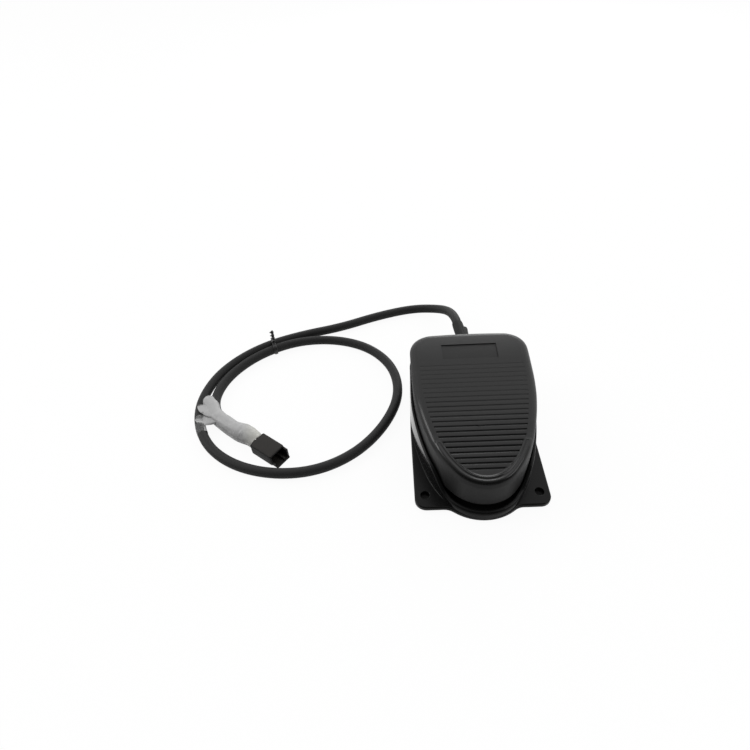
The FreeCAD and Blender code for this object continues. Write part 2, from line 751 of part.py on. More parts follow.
def return_spring():
    """Coil of round wire with closed ends: the pitch is small in the first and the last turn."""
    low = spring_foot_height + spring_wire_radius + seat_clearance
    top = spring_top() - spring_wire_radius - seat_clearance
    coil_radius = spring_radius - spring_wire_radius
    end_rise = 2 * spring_wire_radius + spring_end_gap
    free_rise = top - low - 2 * end_rise
    turn, quarters = 4, 4 * spring_turns
    points, heights = [], []
    for i in range(quarters + 1):
        if i <= turn:
            z = low + end_rise * i / turn
        elif i >= quarters - turn:
            z = top - end_rise * (quarters - i) / turn
        else:
            z = low + end_rise + free_rise * (i - turn) / (quarters - 2 * turn)
        heights.append(z)
        angle = i * math.pi / 2
        points.append(Vector(coil_radius * math.cos(angle), spring_y + coil_radius * math.sin(angle), z))
    directions = []
    for i in range(quarters + 1):
        before, after = max(i - 1, 0), min(i + 1, quarters)
        climb = (heights[after] - heights[before]) / ((after - before) * math.pi / 2)
        if i in (0, quarters):
            climb = 0.0
        angle = i * math.pi / 2
        around = Vector(-math.sin(angle), math.cos(angle), 0) * coil_radius
        directions.append((around + Vector(0, 0, climb)).normalize())
    edges = []
    for i in range(quarters):
        edges += biarc(points[i], directions[i], points[i + 1], directions[i + 1])
    path = Part.Wire(edges)
    profile = Part.Wire(Part.makeCircle(spring_wire_radius, points[0], directions[0]))
    coil = path.makePipeShell([profile], True, False)
    gap = free_rise / (spring_turns - 2) - 2 * spring_wire_radius
    print("spring: gap between its free turns", round(gap, 2), "mm, wire length", round(path.Length, 1), "mm")
    return coil


# Switch


def switch_body():
    x = switch_width / 2
    body = box(-x, x, switch_front_y, switch_rear_y, switch_floor, switch_top)
    long_edges = [e for e in body.Edges if e.BoundBox.XLength > switch_width - 0.1]
    body = body.makeFillet(switch_edge_round, long_edges)
    for side in (-1, 1):
        inner = lever_width / 2 + lever_ear_gap
        x0, x1 = sorted((side * inner, side * (inner + lever_ear_thickness)))
        ear = rod(lever_ear_radius, (x0, pivot_y, pivot_z), (x1, pivot_y, pivot_z))
        foot = box(x0, x1, pivot_y - lever_ear_radius, pivot_y + lever_ear_radius, switch_top - 1, pivot_z)
        body = body.fuse(ear).fuse(foot)
    screw_radius = switch_screw_radius + seat_clearance
    holes = [rod(screw_radius, (-x - 1, y, z), (x + 1, y, z)) for y, z in screw_places()]
    holes.append(rod(pivot_radius + seat_clearance, (-x - 1, pivot_y, pivot_z), (x + 1, pivot_y, pivot_z)))
    half_length = plunger_length / 2 + fit_clearance
    half_width = plunger_width / 2 + fit_clearance
    well = plunger_depth + lever_drop(plunger_y) + rest_clearance
    holes.append(box(-half_width, half_width, plunger_y - half_length, plunger_y + half_length,
                     switch_top - well, switch_top + 1))
    holes += [blade_slot(-x - 1, -x + blade_root, y) for y in blade_places()]
    return body.cut(Part.Compound(holes)).removeSplitter()


def lever_angle():
    """Turn of the lever over the whole stroke, from the drop of the actuating screw."""
    return math.asin(drop_at(actuator_y) / (pivot_y - actuator_y))


def lever_drop(y):
    return (pivot_y - y) * math.sin(lever_angle())


def lever_line(y):
    """Height of the lever's middle plane at rest."""
    return pivot_z + (pivot_y - y) * lever_rise / lever_reach


def switch_lever():
    x = lever_width / 2
    front_y = pivot_y - lever_reach
    slope = math.atan(lever_rise / lever_reach)
    half = lever_thickness / 2 / math.cos(slope)
    blade_rear = pivot_y - barrel_radius / 2
    sheet = Part.Face(Part.makePolygon([Vector(-x, blade_rear, lever_line(blade_rear) - half),
                                        Vector(-x, front_y, lever_line(front_y) - half),
                                        Vector(-x, front_y, lever_line(front_y) + half),
                                        Vector(-x, blade_rear, lever_line(blade_rear) + half),
                                        Vector(-x, blade_rear, lever_line(blade_rear) - half)]))
    sheet = sheet.extrude(Vector(lever_width, 0, 0))
    barrel = rod(barrel_radius, (-x, pivot_y, pivot_z), (x, pivot_y, pivot_z))
    bore = rod(pivot_radius + fit_clearance, (-x - 1, pivot_y, pivot_z), (x + 1, pivot_y, pivot_z))
    return sheet.fuse(barrel).cut(bore).removeSplitter()


def lever_pin():
    end = lever_width / 2 + lever_ear_gap + lever_ear_thickness
    return rod(pivot_radius, (-end, pivot_y, pivot_z), (end, pivot_y, pivot_z))


def switch_plunger():
    top = lever_line(plunger_y) - lever_thickness / 2 - rest_clearance
    x, y = plunger_width / 2, plunger_length / 2
    button = box(-x, x, plunger_y - y, plunger_y + y, switch_top - plunger_depth, top)
    return button.makeFillet(plunger_round, [e for e in button.Edges if e.BoundBox.ZMin > top - 0.01])


def blade_slot(x0, x1, y):
    """Slot that a terminal blade passes with its clearance."""
    half_width, half_thickness = blade_width / 2 + seat_clearance, blade_thickness / 2 + seat_clearance
    return box(x0, x1, y - half_width, y + half_width, blade_z - half_thickness, blade_z + half_thickness)


def blade_places():
    middle_y = switch_front_y + switch_length / 2
    return [middle_y + step * blade_spacing for step in (1, 0, -1)]


def switch_terminals():
    x = switch_width / 2
    blades = []
    for y in blade_places():
        blade = box(-x - blade_length, -x + blade_root, y - blade_width / 2, y + blade_width / 2,
                    blade_z - blade_thickness / 2, blade_z + blade_thickness / 2)
        tip_x = -x - blade_length
        tips = [e for e in blade.Edges if e.BoundBox.XMax < tip_x + 0.01 and e.BoundBox.ZLength > 0.1
                and e.BoundBox.YLength < 0.01]
        blades.append(blade.makeFillet(blade_tip_round, tips))
    return Part.Compound(blades)


def receptacle_span():
    """Where the receptacles start and end across the pedal."""
    near = -switch_width / 2 - rest_clearance
    return near, near - receptacle_length


def crimp_receptacles():
    near, far = receptacle_span()
    pieces = []
    for y in blade_places():
        neck = far - receptacle_neck
        sleeve = box(neck, near, y - receptacle_width / 2, y + receptacle_width / 2,
                     blade_z - receptacle_height / 2, blade_z + receptacle_height / 2)
        rims = [e for e in sleeve.Edges if e.BoundBox.XLength > receptacle_length]
        sleeve = sleeve.makeFillet(receptacle_round, rims)
        slot = blade_slot(neck + receptacle_end_wall, near + 1, y)
        joint = neck + receptacle_end_wall / 3
        barrel = rod(crimp_radius, (neck - crimp_length, y, blade_z), (joint, y, blade_z))
        pieces.append(sleeve.cut(slot).fuse(barrel).removeSplitter())
    return Part.Compound(pieces)


def switch_screws():
    screws = []
    for y, z in screw_places():
        x = switch_width / 2
        shank = rod(switch_screw_radius, (-x, y, z), (x + rib_thickness + screw_overhang, y, z))
        head_x = -x - switch_head_height
        head = rod(switch_head_radius, (head_x, y, z), (-x, y, z))
        slot = box(head_x - 1, head_x + screw_slot_depth, y - screw_slot_width / 2, y + screw_slot_width / 2,
                   z - switch_head_radius, z + switch_head_radius)
        screws.append(shank.fuse(head).cut(slot).removeSplitter())
    return Part.Compound(screws)


# Actuating screw


def actuator_bottom():
    return lever_line(actuator_y) + lever_thickness / 2 + rest_clearance


def actuator_top():
    return actuator_boss_bottom() + actuator_thread_depth


def actuator_screw():
    low, top = actuator_bottom(), actuator_top()
    tip = Part.makeSphere(actuator_radius, Vector(0, actuator_y, low + actuator_radius))
    shank = rod(actuator_radius, (0, actuator_y, low + actuator_radius), (0, actuator_y, top))
    return shank.fuse(tip).removeSplitter()


def actuator_nut():
    nut_bottom = actuator_boss_bottom() - seat_clearance - actuator_nut_height
    turns = [i * math.pi / 3 for i in range(7)]
    corners = [Vector(math.cos(turn), math.sin(turn), 0) * actuator_nut_radius for turn in turns]
    nut = Part.Face(Part.makePolygon(corners)).extrude(Vector(0, 0, actuator_nut_height))
    nut.translate(Vector(0, actuator_y, nut_bottom))
    return nut.cut(rod(actuator_radius + seat_clearance, (0, actuator_y, 0), (0, actuator_y, high)))


# Cord


def tube_path(points):
    """Straight runs joined by tangent arcs, each as large as its two runs allow."""
    points = [Vector(*p) for p in points]
    edges, radii = [], []
    last = points[0]
    for before, corner, after in zip(points, points[1:], points[2:]):
        into, out = (corner - before), (after - corner)
        reach = 0.45 * min(into.Length, out.Length)
        into.normalize()
        out.normalize()
        half_turn = math.acos(max(-1.0, min(1.0, into.dot(out)))) / 2
        radius = reach / math.tan(half_turn)
        radii.append(radius)
        start, end = corner - into * reach, corner + out * reach
        inwards = (out - into).normalize()
        middle = corner + inwards * (radius / math.cos(half_turn) - radius)
        edges.append(Part.LineSegment(last, start).toShape())
        edges.append(Part.Arc(start, middle, end).toShape())
        last = end
    edges.append(Part.LineSegment(last, points[-1]).toShape())
    return Part.Wire(edges), radii


def tube(points, radius, name):
    path, radii = tube_path(points)
    start = Vector(*points[0])
    ahead = (Vector(*points[1]) - start).normalize()
    profile = Part.Wire(Part.makeCircle(radius, start, ahead))
    shape = path.makePipeShell([profile], True, False)
    print(name, "length", round(path.Length, 1), "least radius", round(min(radii), 1),
          "volume over section times length", round(shape.Volume / (math.pi * radius ** 2 * path.Length), 4))
    return shape


def cord_boot():
    """Tapered boot with flex rings, a neck in the wall's hole, and a flange inside the wall."""
    wall_y = base_rear_y
    inner_y = wall_y - rim_wall
    bore = cord_radius + seat_clearance
    section = [(bore, inner_y - boot_flange_thickness), (boot_flange_radius, inner_y - boot_flange_thickness),
               (boot_flange_radius, inner_y), (boot_neck_radius, inner_y), (boot_neck_radius, wall_y),
               (boot_wall_radius, wall_y), (boot_wall_radius, wall_y + boot_collar_length),
               (boot_end_radius, boot_end_y), (bore, boot_end_y), (bore, inner_y - boot_flange_thickness)]
    polygon = Part.makePolygon([Vector(cord_exit_x + r, y, cord_exit_height) for r, y in section])
    axis = Vector(cord_exit_x, 0, cord_exit_height)
    boot = Part.Face(polygon).revolve(axis, Vector(0, 1, 0), 360)
    step = (boot_length - boot_ring_start - boot_plain_end) / boot_ring_count
    for i in range(boot_ring_count):
        y = wall_y + boot_ring_start + i * step
        share = (y - wall_y) / boot_length
        radius = boot_wall_radius + (boot_end_radius - boot_wall_radius) * share
        inner = max(radius - boot_ring_depth, bore + boot_ring_core)
        ring = rod(boot_flange_radius + 1, (cord_exit_x, y, cord_exit_height),
                   (cord_exit_x, y + boot_ring_width, cord_exit_height))
        core = rod(inner, (cord_exit_x, y - 1, cord_exit_height),
                   (cord_exit_x, y + boot_ring_width + 1, cord_exit_height))
        boot = boot.cut(ring.cut(core))
    return boot


def cord_inner_end():
    return rod(cord_radius, (cord_exit_x, jacket_end_y, cord_exit_height),
               (cord_exit_x, boot_end_y, cord_exit_height))


def lead(index):
    """One insulated lead from its crimp, round the switch and into the cord's jacket."""
    y = blade_places()[index]
    start_x = receptacle_span()[1] - receptacle_neck - crimp_length
    side_x = -lead_first_x - lead_step_x * index
    turn_y = hinge_y - lead_turn_from_hinge + lead_step_y * index
    end_x = cord_exit_x + lead_spread * (1 - index)
    return tube([(start_x, y, blade_z), (side_x, y, blade_z), (side_x, turn_y, blade_z),
                 (end_x, turn_y, cord_exit_height), (end_x, jacket_end_y, cord_exit_height)],
                lead_radius, "lead " + str(index))


def cord_clamp():
    strap = clamp_block(cord_exit_height + clamp_parting / 2, cord_exit_height + clamp_strap_height)
    holes = clamp_screw_holes(clamp_screw_radius + seat_clearance, cord_exit_height, high)
    return strap.cut(Part.Compound(holes))


def clamp_screws():
    top = cord_exit_height + clamp_strap_height
    shanks = clamp_screw_holes(clamp_screw_radius, cord_exit_height - clamp_screw_depth + rest_clearance, top)
    heads = clamp_screw_holes(clamp_head_radius, top, top + clamp_head_height)
    screws = []
    for shank, head in zip(shanks, heads):
        x, y = head.CenterOfMass.x, head.CenterOfMass.y
        head_top = top + clamp_head_height
        slot = box(x - clamp_head_radius, x + clamp_head_radius, y - screw_slot_width / 2,
                   y + screw_slot_width / 2, head_top - screw_slot_depth, head_top + 1)
        screws.append(shank.fuse(head).cut(slot).removeSplitter())
    return Part.Compound(screws)


# Connector, tie and film


def connector_frame():
    """Middle of the connector's rear face, and the directions along it and across it."""
    before, last = Vector(*cord_route[-2]), Vector(*cord_route[-1])
    along = Vector(last.x - before.x, last.y - before.y, 0).normalize()
    across = Vector(-along.y, along.x, 0)
    rear = Vector(last.x, last.y, connector_height / 2) + along * connector_wire_gap
    return rear, along, across


def place_on_connector(shape):
    """Move a shape modelled along +X from the origin to the connector's place."""
    rear, along, across = connector_frame()
    shape.rotate(Vector(0, 0, 0), Vector(0, 0, 1), math.degrees(math.atan2(along.y, along.x)))
    shape.translate(rear)
    return shape


def connector_housing():
    half_width, half_height = connector_width / 2, connector_height / 2
    body = box(0, connector_length, -half_width, half_width, -half_height, half_height)
    long_edges = [e for e in body.Edges if e.BoundBox.XLength > connector_length - 0.1]
    body = body.makeFillet(connector_round, long_edges)
    cavity = box(connector_length - connector_cavity, connector_length + 1, -half_width + connector_wall,
                 half_width - connector_wall, -half_height + connector_wall, half_height - connector_wall)
    body = body.cut(cavity)
    floor = -half_height + connector_wall
    tongue = box(connector_length - connector_cavity, connector_length + connector_tongue_reach,
                 half_width - connector_wall - connector_tongue_width, half_width - connector_wall,
                 floor, floor + connector_tongue_height)
    body = body.fuse(tongue).removeSplitter()
    return place_on_connector(body)


def connector_terminals():
    half = connector_pin_side / 2
    start = connector_length - connector_cavity
    pins = []
    for column in (-1, 0, 1):
        y, z = column * connector_pin_pitch, connector_pin_rise
        pins.append(box(start, start + connector_pin_length, y - half, y + half, z - half, z + half))
    return place_on_connector(Part.Compound(pins))


def connector_wires():
    rear, along, across = connector_frame()
    wires = []
    for step in (-1, 0, 1):
        middle_z = cord_route[-1][2] + connector_wire_rise
        end = Vector(rear.x, rear.y, middle_z) + across * (step * connector_wire_spread)
        wires.append(rod(connector_wire_radius, end - along * connector_wire_gap, end))
    return Part.Compound(wires)


def nearest_on(points, place):
    """Point of a stretch of the cord's middle line that lies nearest to a place."""
    path, radii = tube_path(points)
    return path.distToShape(Part.Vertex(place))[1][0][0]


def cord_tie():
    """Band round both strands of the cord, with the two ends of its twist standing up."""
    outer = nearest_on(cord_route[:12], tie_place)
    inner = nearest_on(cord_route[18:], outer)
    middle = (outer + inner) / 2
    across = Vector(inner.x - outer.x, inner.y - outer.y, 0)
    half_gap = across.Length / 2
    across.normalize()
    turn = math.degrees(math.atan2(across.y, across.x))

    def loop(radius):
        """Stadium round both strands, modelled across X and extruded along Y."""
        ends = [Part.Arc(Vector(side * half_gap, 0, radius), Vector(side * (half_gap + radius), 0, 0),
                         Vector(side * half_gap, 0, -radius)).toShape() for side in (-1, 1)]
        sides = [line((-half_gap, 0, z), (half_gap, 0, z)) for z in (-radius, radius)]
        wire = Part.Wire(Part.__sortEdges__(ends + sides))
        return Part.Face(wire).extrude(Vector(0, tie_band_width, 0))

    inside = cord_radius + tie_clearance
    band = loop(inside + tie_band_thickness).cut(loop(inside))
    top = inside + tie_band_thickness / 2
    start = Vector(0, tie_band_width / 2, top)
    tails = [rod(tie_tail_radius, start, start + Vector(side * tie_tail_spread, 0, tie_tail_height))
             for side in (-1, 1)]
    tie = joined(band, *tails)
    tie.translate(Vector(0, -tie_band_width / 2, 0))
    tie.rotate(Vector(0, 0, 0), Vector(0, 0, 1), turn)
    tie.translate(middle)
    return tie


def film_section(place, along, width, height):
    """Cross-section of the gathered film: flat on the floor, bulging over the cord."""
    across = Vector(-along.y, along.x, 0).normalize()
    foot, shoulder = 0.36 * width, 0.28 * width

    def at(sideways, up):
        return Vector(place.x, place.y, 0) + across * sideways + Vector(0, 0, up)

    left_foot, right_foot = at(-foot, 0), at(foot, 0)
    left_top, right_top = at(-shoulder, 0.86 * height), at(shoulder, 0.86 * height)
    return Part.Wire([Part.Arc(left_foot, at(-width / 2, 0.42 * height), left_top).toShape(),
                      Part.Arc(left_top, at(0, height), right_top).toShape(),
                      Part.Arc(right_top, at(width / 2, 0.42 * height), right_foot).toShape(),
                      line(right_foot, left_foot)])


def film_wrap():
    """Sleeve of gathered plastic film over the cord's end, from the strand to the connector."""
    rear, along, across = connector_frame()
    route = [Vector(*corner) for corner in cord_route[-film_corner_count:]]
    route[-1] = Vector(rear.x, rear.y, route[-1].z)
    path, radii = tube_path(route)
    marks = path.discretize(len(film_widths) + film_skip)[film_skip:]
    sections = []
    for i, (width, height) in enumerate(zip(film_widths, film_heights)):
        before, after = marks[max(i - 1, 0)], marks[min(i + 1, len(marks) - 1)]
        ahead = Vector(after.x - before.x, after.y - before.y, 0).normalize()
        sections.append(film_section(marks[i], ahead, width, height))
    outer = Part.makeLoft(sections, True, False)
    ahead = (route[1] - route[0]).normalize()
    profile = Part.Wire(Part.makeCircle(cord_radius + rest_clearance, route[0], ahead))
    inner = path.makePipeShell([profile], True, False)
    return outer.cut(inner)


def main():
    os.makedirs("parts", exist_ok=True)
    save("base_housing", base_housing())
    save("rubber_feet", rubber_feet())
    save("treadle", treadle())
    save("stop_pad", stop_pad())
    save("hinge_pin", hinge_pin())
    save("hinge_clips", hinge_clips())
    save("return_spring", return_spring())
    save("switch_body", switch_body())
    save("switch_lever", switch_lever())
    save("lever_pin", lever_pin())
    save("switch_plunger", switch_plunger())
    save("switch_terminals", switch_terminals())
    save("crimp_receptacles", crimp_receptacles())
    save("switch_screws", switch_screws())
    save("actuator_screw", actuator_screw())
    save("actuator_nut", actuator_nut())
    save("cord_clamp", cord_clamp())
    save("clamp_screws", clamp_screws())
    save("cord_inner_end", cord_inner_end())
    save("cord_boot", cord_boot())
    for index, node in enumerate(("lead_common", "lead_open", "lead_closed")):
        save(node, lead(index))
    save("cord", tube(cord_route, cord_radius, "cord"))
    save("connector_housing", connector_housing())
    save("connector_terminals", connector_terminals())
    save("connector_wires", connector_wires())
    save("cord_tie", cord_tie())
    save("film_wrap", film_wrap())


main()
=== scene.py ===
import math

import bmesh
import bpy
from mathutils import Matrix, Vector, noise


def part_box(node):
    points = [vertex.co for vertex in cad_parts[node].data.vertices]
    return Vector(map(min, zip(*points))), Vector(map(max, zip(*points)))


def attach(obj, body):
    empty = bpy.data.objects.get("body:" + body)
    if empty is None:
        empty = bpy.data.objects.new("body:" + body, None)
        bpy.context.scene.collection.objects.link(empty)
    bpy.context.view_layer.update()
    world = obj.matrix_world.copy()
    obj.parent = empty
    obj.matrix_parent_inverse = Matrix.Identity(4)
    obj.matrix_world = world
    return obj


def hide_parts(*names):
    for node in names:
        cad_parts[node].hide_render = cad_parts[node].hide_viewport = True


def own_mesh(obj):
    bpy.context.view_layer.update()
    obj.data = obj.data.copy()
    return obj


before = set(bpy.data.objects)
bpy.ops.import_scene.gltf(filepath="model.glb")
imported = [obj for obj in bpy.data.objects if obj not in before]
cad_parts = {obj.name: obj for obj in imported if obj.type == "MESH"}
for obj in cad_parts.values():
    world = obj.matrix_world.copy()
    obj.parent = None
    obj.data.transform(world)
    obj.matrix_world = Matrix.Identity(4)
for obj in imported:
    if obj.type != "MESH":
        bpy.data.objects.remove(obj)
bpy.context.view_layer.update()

bpy.ops.object.select_all(action="DESELECT")


# Studio: a camera over the toe's left, looking down at the pedal from the side that the cord lies on.
# Distances are metres in the pedal's own frame, and the angles are those of the photograph.
camera_place = Vector((-0.05346, -0.23984, 0.29831))
camera_yaw = math.radians(2.18)
camera_down = math.radians(44.01)
camera_roll = math.radians(-3.76)
camera_lens = 26.88
camera_data = bpy.data.cameras.new("camera")
camera_data.lens = camera_lens
camera_data.sensor_width = 36.0
camera_data.clip_start = 0.01
camera = bpy.data.objects.new("camera", camera_data)
bpy.context.scene.collection.objects.link(camera)
camera.matrix_world = (Matrix.Translation(camera_place) @ Matrix.Rotation(camera_yaw, 4, "Z")
                       @ Matrix.Rotation(math.pi / 2 - camera_down, 4, "X")
                       @ Matrix.Rotation(camera_roll, 4, "Z"))
bpy.context.scene.camera = camera
bpy.context.scene.view_settings.view_transform = "Standard"


# Foot plate: one injection moulding in black plastic, crowned and tapered, with a deep skirt, a raised bead
# round its toe, 22 grooves for grip and a sunk label field that stays bare. Its two lugs turn on the pin.
# Lengths are millimetres, as on its drawing, until the finished mesh is scaled to metres.
millimetre = 0.001
plate_length, plate_width = 115.1, 78.2
rear_y = 57.85
nose_y = rear_y - plate_length
nose_radius, nose_turn = 24.0, math.radians(48.5)
flank_turn, widest_from_rear, corner_radius = math.radians(73.0), 33.6, 14.4
tilt, nose_height = math.radians(9.2), 31.7
crown_radius, crown_y = 147.0, rear_y - 26.0
edge_drop, skirt_wall, top_thickness = 4.2, 2.2, 2.6
skirt_nose, skirt_break, skirt_rear = (nose_y, 12.6), (nose_y + 19.0, 10.8), (rear_y, 30.4)
groove_places = [nose_y + 11.0 + 3.52 * i for i in range(22)]
groove_width, groove_depth, groove_inset = 1.1, 0.9, 5.2
bead_width, panel_sink, panel_end_y = 6.0, 1.1, nose_y + 36.0
label_width, label_front_y, label_rear_y, label_depth = 36.6, rear_y - 24.6, rear_y - 11.9, 0.6
hinge_y, hinge_z = 48.35, 30.0


def outline_arcs(width):
    """Centre, radius, first and last turn of the arcs down the right side of an outline this wide."""
    across = width / 2 - nose_radius * math.sin(nose_turn)
    ahead = plate_length - widest_from_rear - nose_radius * (1 - math.cos(nose_turn))
    a, b = math.sin(flank_turn) - math.sin(nose_turn), 1 - math.sin(flank_turn)
    c, d = math.cos(nose_turn) - math.cos(flank_turn), math.cos(flank_turn)
    flank = (across * d - ahead * b) / (a * d - b * c)
    side = (across - flank * a) / b
    arcs, centre, radius, turn = [], Vector((0, nose_y + nose_radius)), nose_radius, 0.0
    for next_turn, next_radius in ((nose_turn, flank), (flank_turn, side), (math.pi / 2, side)):
        arcs.append((centre, radius, turn, next_turn))
        centre = centre + Vector((math.sin(next_turn), -math.cos(next_turn))) * (radius - next_radius)
        radius, turn = next_radius, next_turn
    corner = Vector((width / 2 - corner_radius, rear_y - corner_radius))
    return arcs + [(corner, corner_radius, math.pi / 2, math.pi)]


def arc_points(centre, radius, start, end, spacing=1.3):
    """Points along an arc, where a turn of zero looks to the toe."""
    steps = max(4, round(abs(end - start) * radius / spacing))
    turns = [start + (end - start) * i / steps for i in range(steps + 1)]
    return [centre + Vector((math.sin(turn), -math.cos(turn))) * radius for turn in turns]


def all_round(right, spacing=1.3):
    """Points of a closed outline from those of its right half, with long runs divided."""
    half = [right[0]]
    for point in right[1:]:
        gap = (point - half[-1]).length
        pieces = max(1, round(gap / spacing))
        half += [half[-1].lerp(point, i / pieces) for i in range(1, pieces + 1)] if gap > 0.01 else []
    rear = [half[-1].lerp(Vector((0, half[-1].y)), i / 12) for i in range(1, 13)]
    left = [Vector((-point.x, point.y)) for point in reversed(half[1:] + rear[:-1])]
    return half + rear + left


def outline(width, offset):
    """Points round an outline, moved out by the offset, from the nose up the right side."""
    return all_round([point for centre, radius, start, end in outline_arcs(width)
                      for point in arc_points(centre, radius + offset, start, end)])


def beside_outline(point, width, offset):
    """The point that lies this far outside an outline, nearest to a given one."""
    near, feet = Vector((abs(point.x), point.y)), []
    for centre, radius, start, end in outline_arcs(width):
        ray = near - centre
        if start - 0.001 <= math.atan2(ray.x, -ray.y) <= end + 0.001:
            feet.append((abs(ray.length - radius), centre + ray.normalized() * (radius + offset)))
    if rear_y - widest_from_rear <= near.y <= rear_y - corner_radius:
        feet.append((abs(near.x - width / 2), Vector((width / 2 + offset, near.y))))
    if near.x <= width / 2 - corner_radius and near.y > crown_y:
        feet.append((abs(near.y - rear_y), Vector((near.x, rear_y + offset))))
    foot = min(feet, key=lambda pair: pair[0])[1]
    return Vector((math.copysign(foot.x, point.x), foot.y))


def tread_height(y):
    """Height of the tread over the floor: flat and tilted, then crowned towards the rear."""
    if y <= crown_y:
        return nose_height + (y - nose_y) * math.tan(tilt)
    centre_y = crown_y + crown_radius * math.sin(tilt)
    centre_z = nose_height + (crown_y - nose_y) * math.tan(tilt) - crown_radius * math.cos(tilt)
    return centre_z + math.sqrt(crown_radius ** 2 - (y - centre_y) ** 2)


def under_tread(y):
    """Height of the tread's inner face."""
    return tread_height(y) - top_thickness / math.cos(tilt)


def sink(y):
    """How far the grooved panel lies under the tread, deepest at the toe."""
    return max(0.0, panel_sink * (1 - (y - nose_y) / (panel_end_y - nose_y)))


def skirt_height(y):
    """Height of the skirt's lower edge, which breaks at the flank."""
    (y0, z0), (y1, z1) = (skirt_nose, skirt_break) if y < skirt_break[0] else (skirt_break, skirt_rear)
    return z0 + (y - y0) * (z1 - z0) / (y1 - y0)


def start_flat(name, points, z=0.0):
    """Add a filled ring at its place, with its corners on the points, and stay in edit mode."""
    bpy.ops.mesh.primitive_circle_add(vertices=len(points), fill_type="NGON", enter_editmode=True)
    bpy.context.object.name = name
    mesh = bmesh.from_edit_mesh(bpy.context.object.data)
    for vertex, point in zip(mesh.verts, points):
        vertex.co = (point.x, point.y, z)
    bmesh.update_edit_mesh(bpy.context.object.data)
    return bpy.context.object


def pick(kind, wanted):
    """Select the corners, edges or faces that the test wants, and nothing else."""
    bpy.ops.mesh.select_mode(type={"verts": "VERT", "edges": "EDGE", "faces": "FACE"}[kind])
    bpy.ops.mesh.select_all(action="DESELECT")
    mesh = bmesh.from_edit_mesh(bpy.context.object.data)
    for item in getattr(mesh, kind):
        item.select = wanted(item)
    mesh.select_flush_mode()
    bmesh.update_edit_mesh(bpy.context.object.data)


def set_corners(place):
    """Move each selected corner to where the rule puts it."""
    mesh = bmesh.from_edit_mesh(bpy.context.object.data)
    for vertex in mesh.verts:
        if vertex.select:
            vertex.co = place(vertex.co)
    bmesh.update_edit_mesh(bpy.context.object.data)


def pull_edge(place):
    """Extrude the selected loop of edges, and move its corners to where the rule puts them."""
    bpy.ops.mesh.extrude_edges_move()
    set_corners(place)


def beside(offset, height, width=plate_width):
    """Rule for a loop of corners: this far outside the outline, at a height that changes along the pedal."""
    def place(corner):
        point = beside_outline(corner, width, offset)
        return Vector((point.x, point.y, height(point.y)))
    return place


def cut_all(normal, places):
    """Cut every face at these places along a direction."""
    for place in places:
        bpy.ops.mesh.select_all(action="SELECT")
        bpy.ops.mesh.bisect(plane_co=Vector(normal) * place, plane_no=normal)


def close_up(gap):
    """Merge corners of the open mesh that are closer than the gap, and turn its faces outwards."""
    bpy.ops.mesh.select_all(action="SELECT")
    bpy.ops.mesh.remove_doubles(threshold=gap)
    bpy.ops.mesh.normals_make_consistent(inside=False)


def take(piece):
    """Select a piece alone, for the operators that follow."""
    bpy.ops.object.select_all(action="DESELECT")
    piece.select_set(True)
    bpy.context.view_layer.objects.active = piece


def block(x0, x1, y0, y1, z0, z1, edge=0.3):
    """Rib or lug of a moulding: a box between these places with bevelled edges."""
    bpy.ops.mesh.primitive_cube_add(size=1, enter_editmode=True)
    set_corners(lambda c: Vector(((x0 + x1) / 2 + c.x * (x1 - x0), (y0 + y1) / 2 + c.y * (y1 - y0),
                                  (z0 + z1) / 2 + c.z * (z1 - z0))))
    bpy.ops.mesh.bevel(offset=edge, segments=2, affect="EDGES")
    bpy.ops.object.mode_set(mode="OBJECT")
    return bpy.context.object


def turned(profile, centre, axis="Z", steps=40):
    """Round form: its profile of radius and place along the axis, spun once round."""
    start_flat("turned", [Vector(corner) for corner in profile])
    bpy.ops.mesh.delete(type="ONLY_FACE")
    bpy.ops.mesh.select_all(action="SELECT")
    set_corners(lambda c: Vector((c.x, 0, c.y)))
    bpy.ops.mesh.spin(steps=steps, angle=math.tau, center=(0, 0, 0), axis=(0, 0, 1))
    close_up(0.001)
    bpy.ops.object.mode_set(mode="OBJECT")
    turn = {"X": Matrix.Rotation(math.pi / 2, 4, "Y"), "Y": Matrix.Rotation(-math.pi / 2, 4, "X"),
            "Z": Matrix.Identity(4)}[axis]
    bpy.context.object.data.transform(Matrix.Translation(centre) @ turn)
    return bpy.context.object


def stud(radius, start, end, centre, axis="Z", bore=0.0, edge=0.3):
    """Boss, eye or peg: a round bar between two places along its axis, with bevelled ends."""
    rim = [(radius, start + edge), (radius, end - edge), (radius - edge, end)]
    if bore:
        return turned([(bore, start), (radius - edge, start)] + rim + [(bore, end)], centre, axis)
    return turned([(0, start), (radius - edge, start)] + rim + [(0, end)], centre, axis)


def cut_out(piece, tools):
    """Cut the tools out of a moulding and delete them."""
    for tool in tools:
        take(piece)
        cutting = piece.modifiers.new("cut", "BOOLEAN")
        cutting.object, cutting.operation, cutting.solver = tool, "DIFFERENCE", "EXACT"
        bpy.ops.object.modifier_apply(modifier="cut")
        bpy.data.objects.remove(tool)


def join(piece, others):
    """Make one moulding of several forms."""
    take(piece)
    for other in others:
        other.select_set(True)
    bpy.ops.object.join()


def finish_mesh(piece, angle=35.0):
    """Shade a finished mesh and bring it to metres."""
    piece.data.transform(Matrix.Scale(millimetre, 4))
    take(piece)
    bpy.ops.object.shade_smooth_by_angle(angle=math.radians(angle))
    weights = piece.modifiers.new("weights", "WEIGHTED_NORMAL")
    weights.keep_sharp = True
    bpy.ops.object.modifier_apply(modifier="weights")


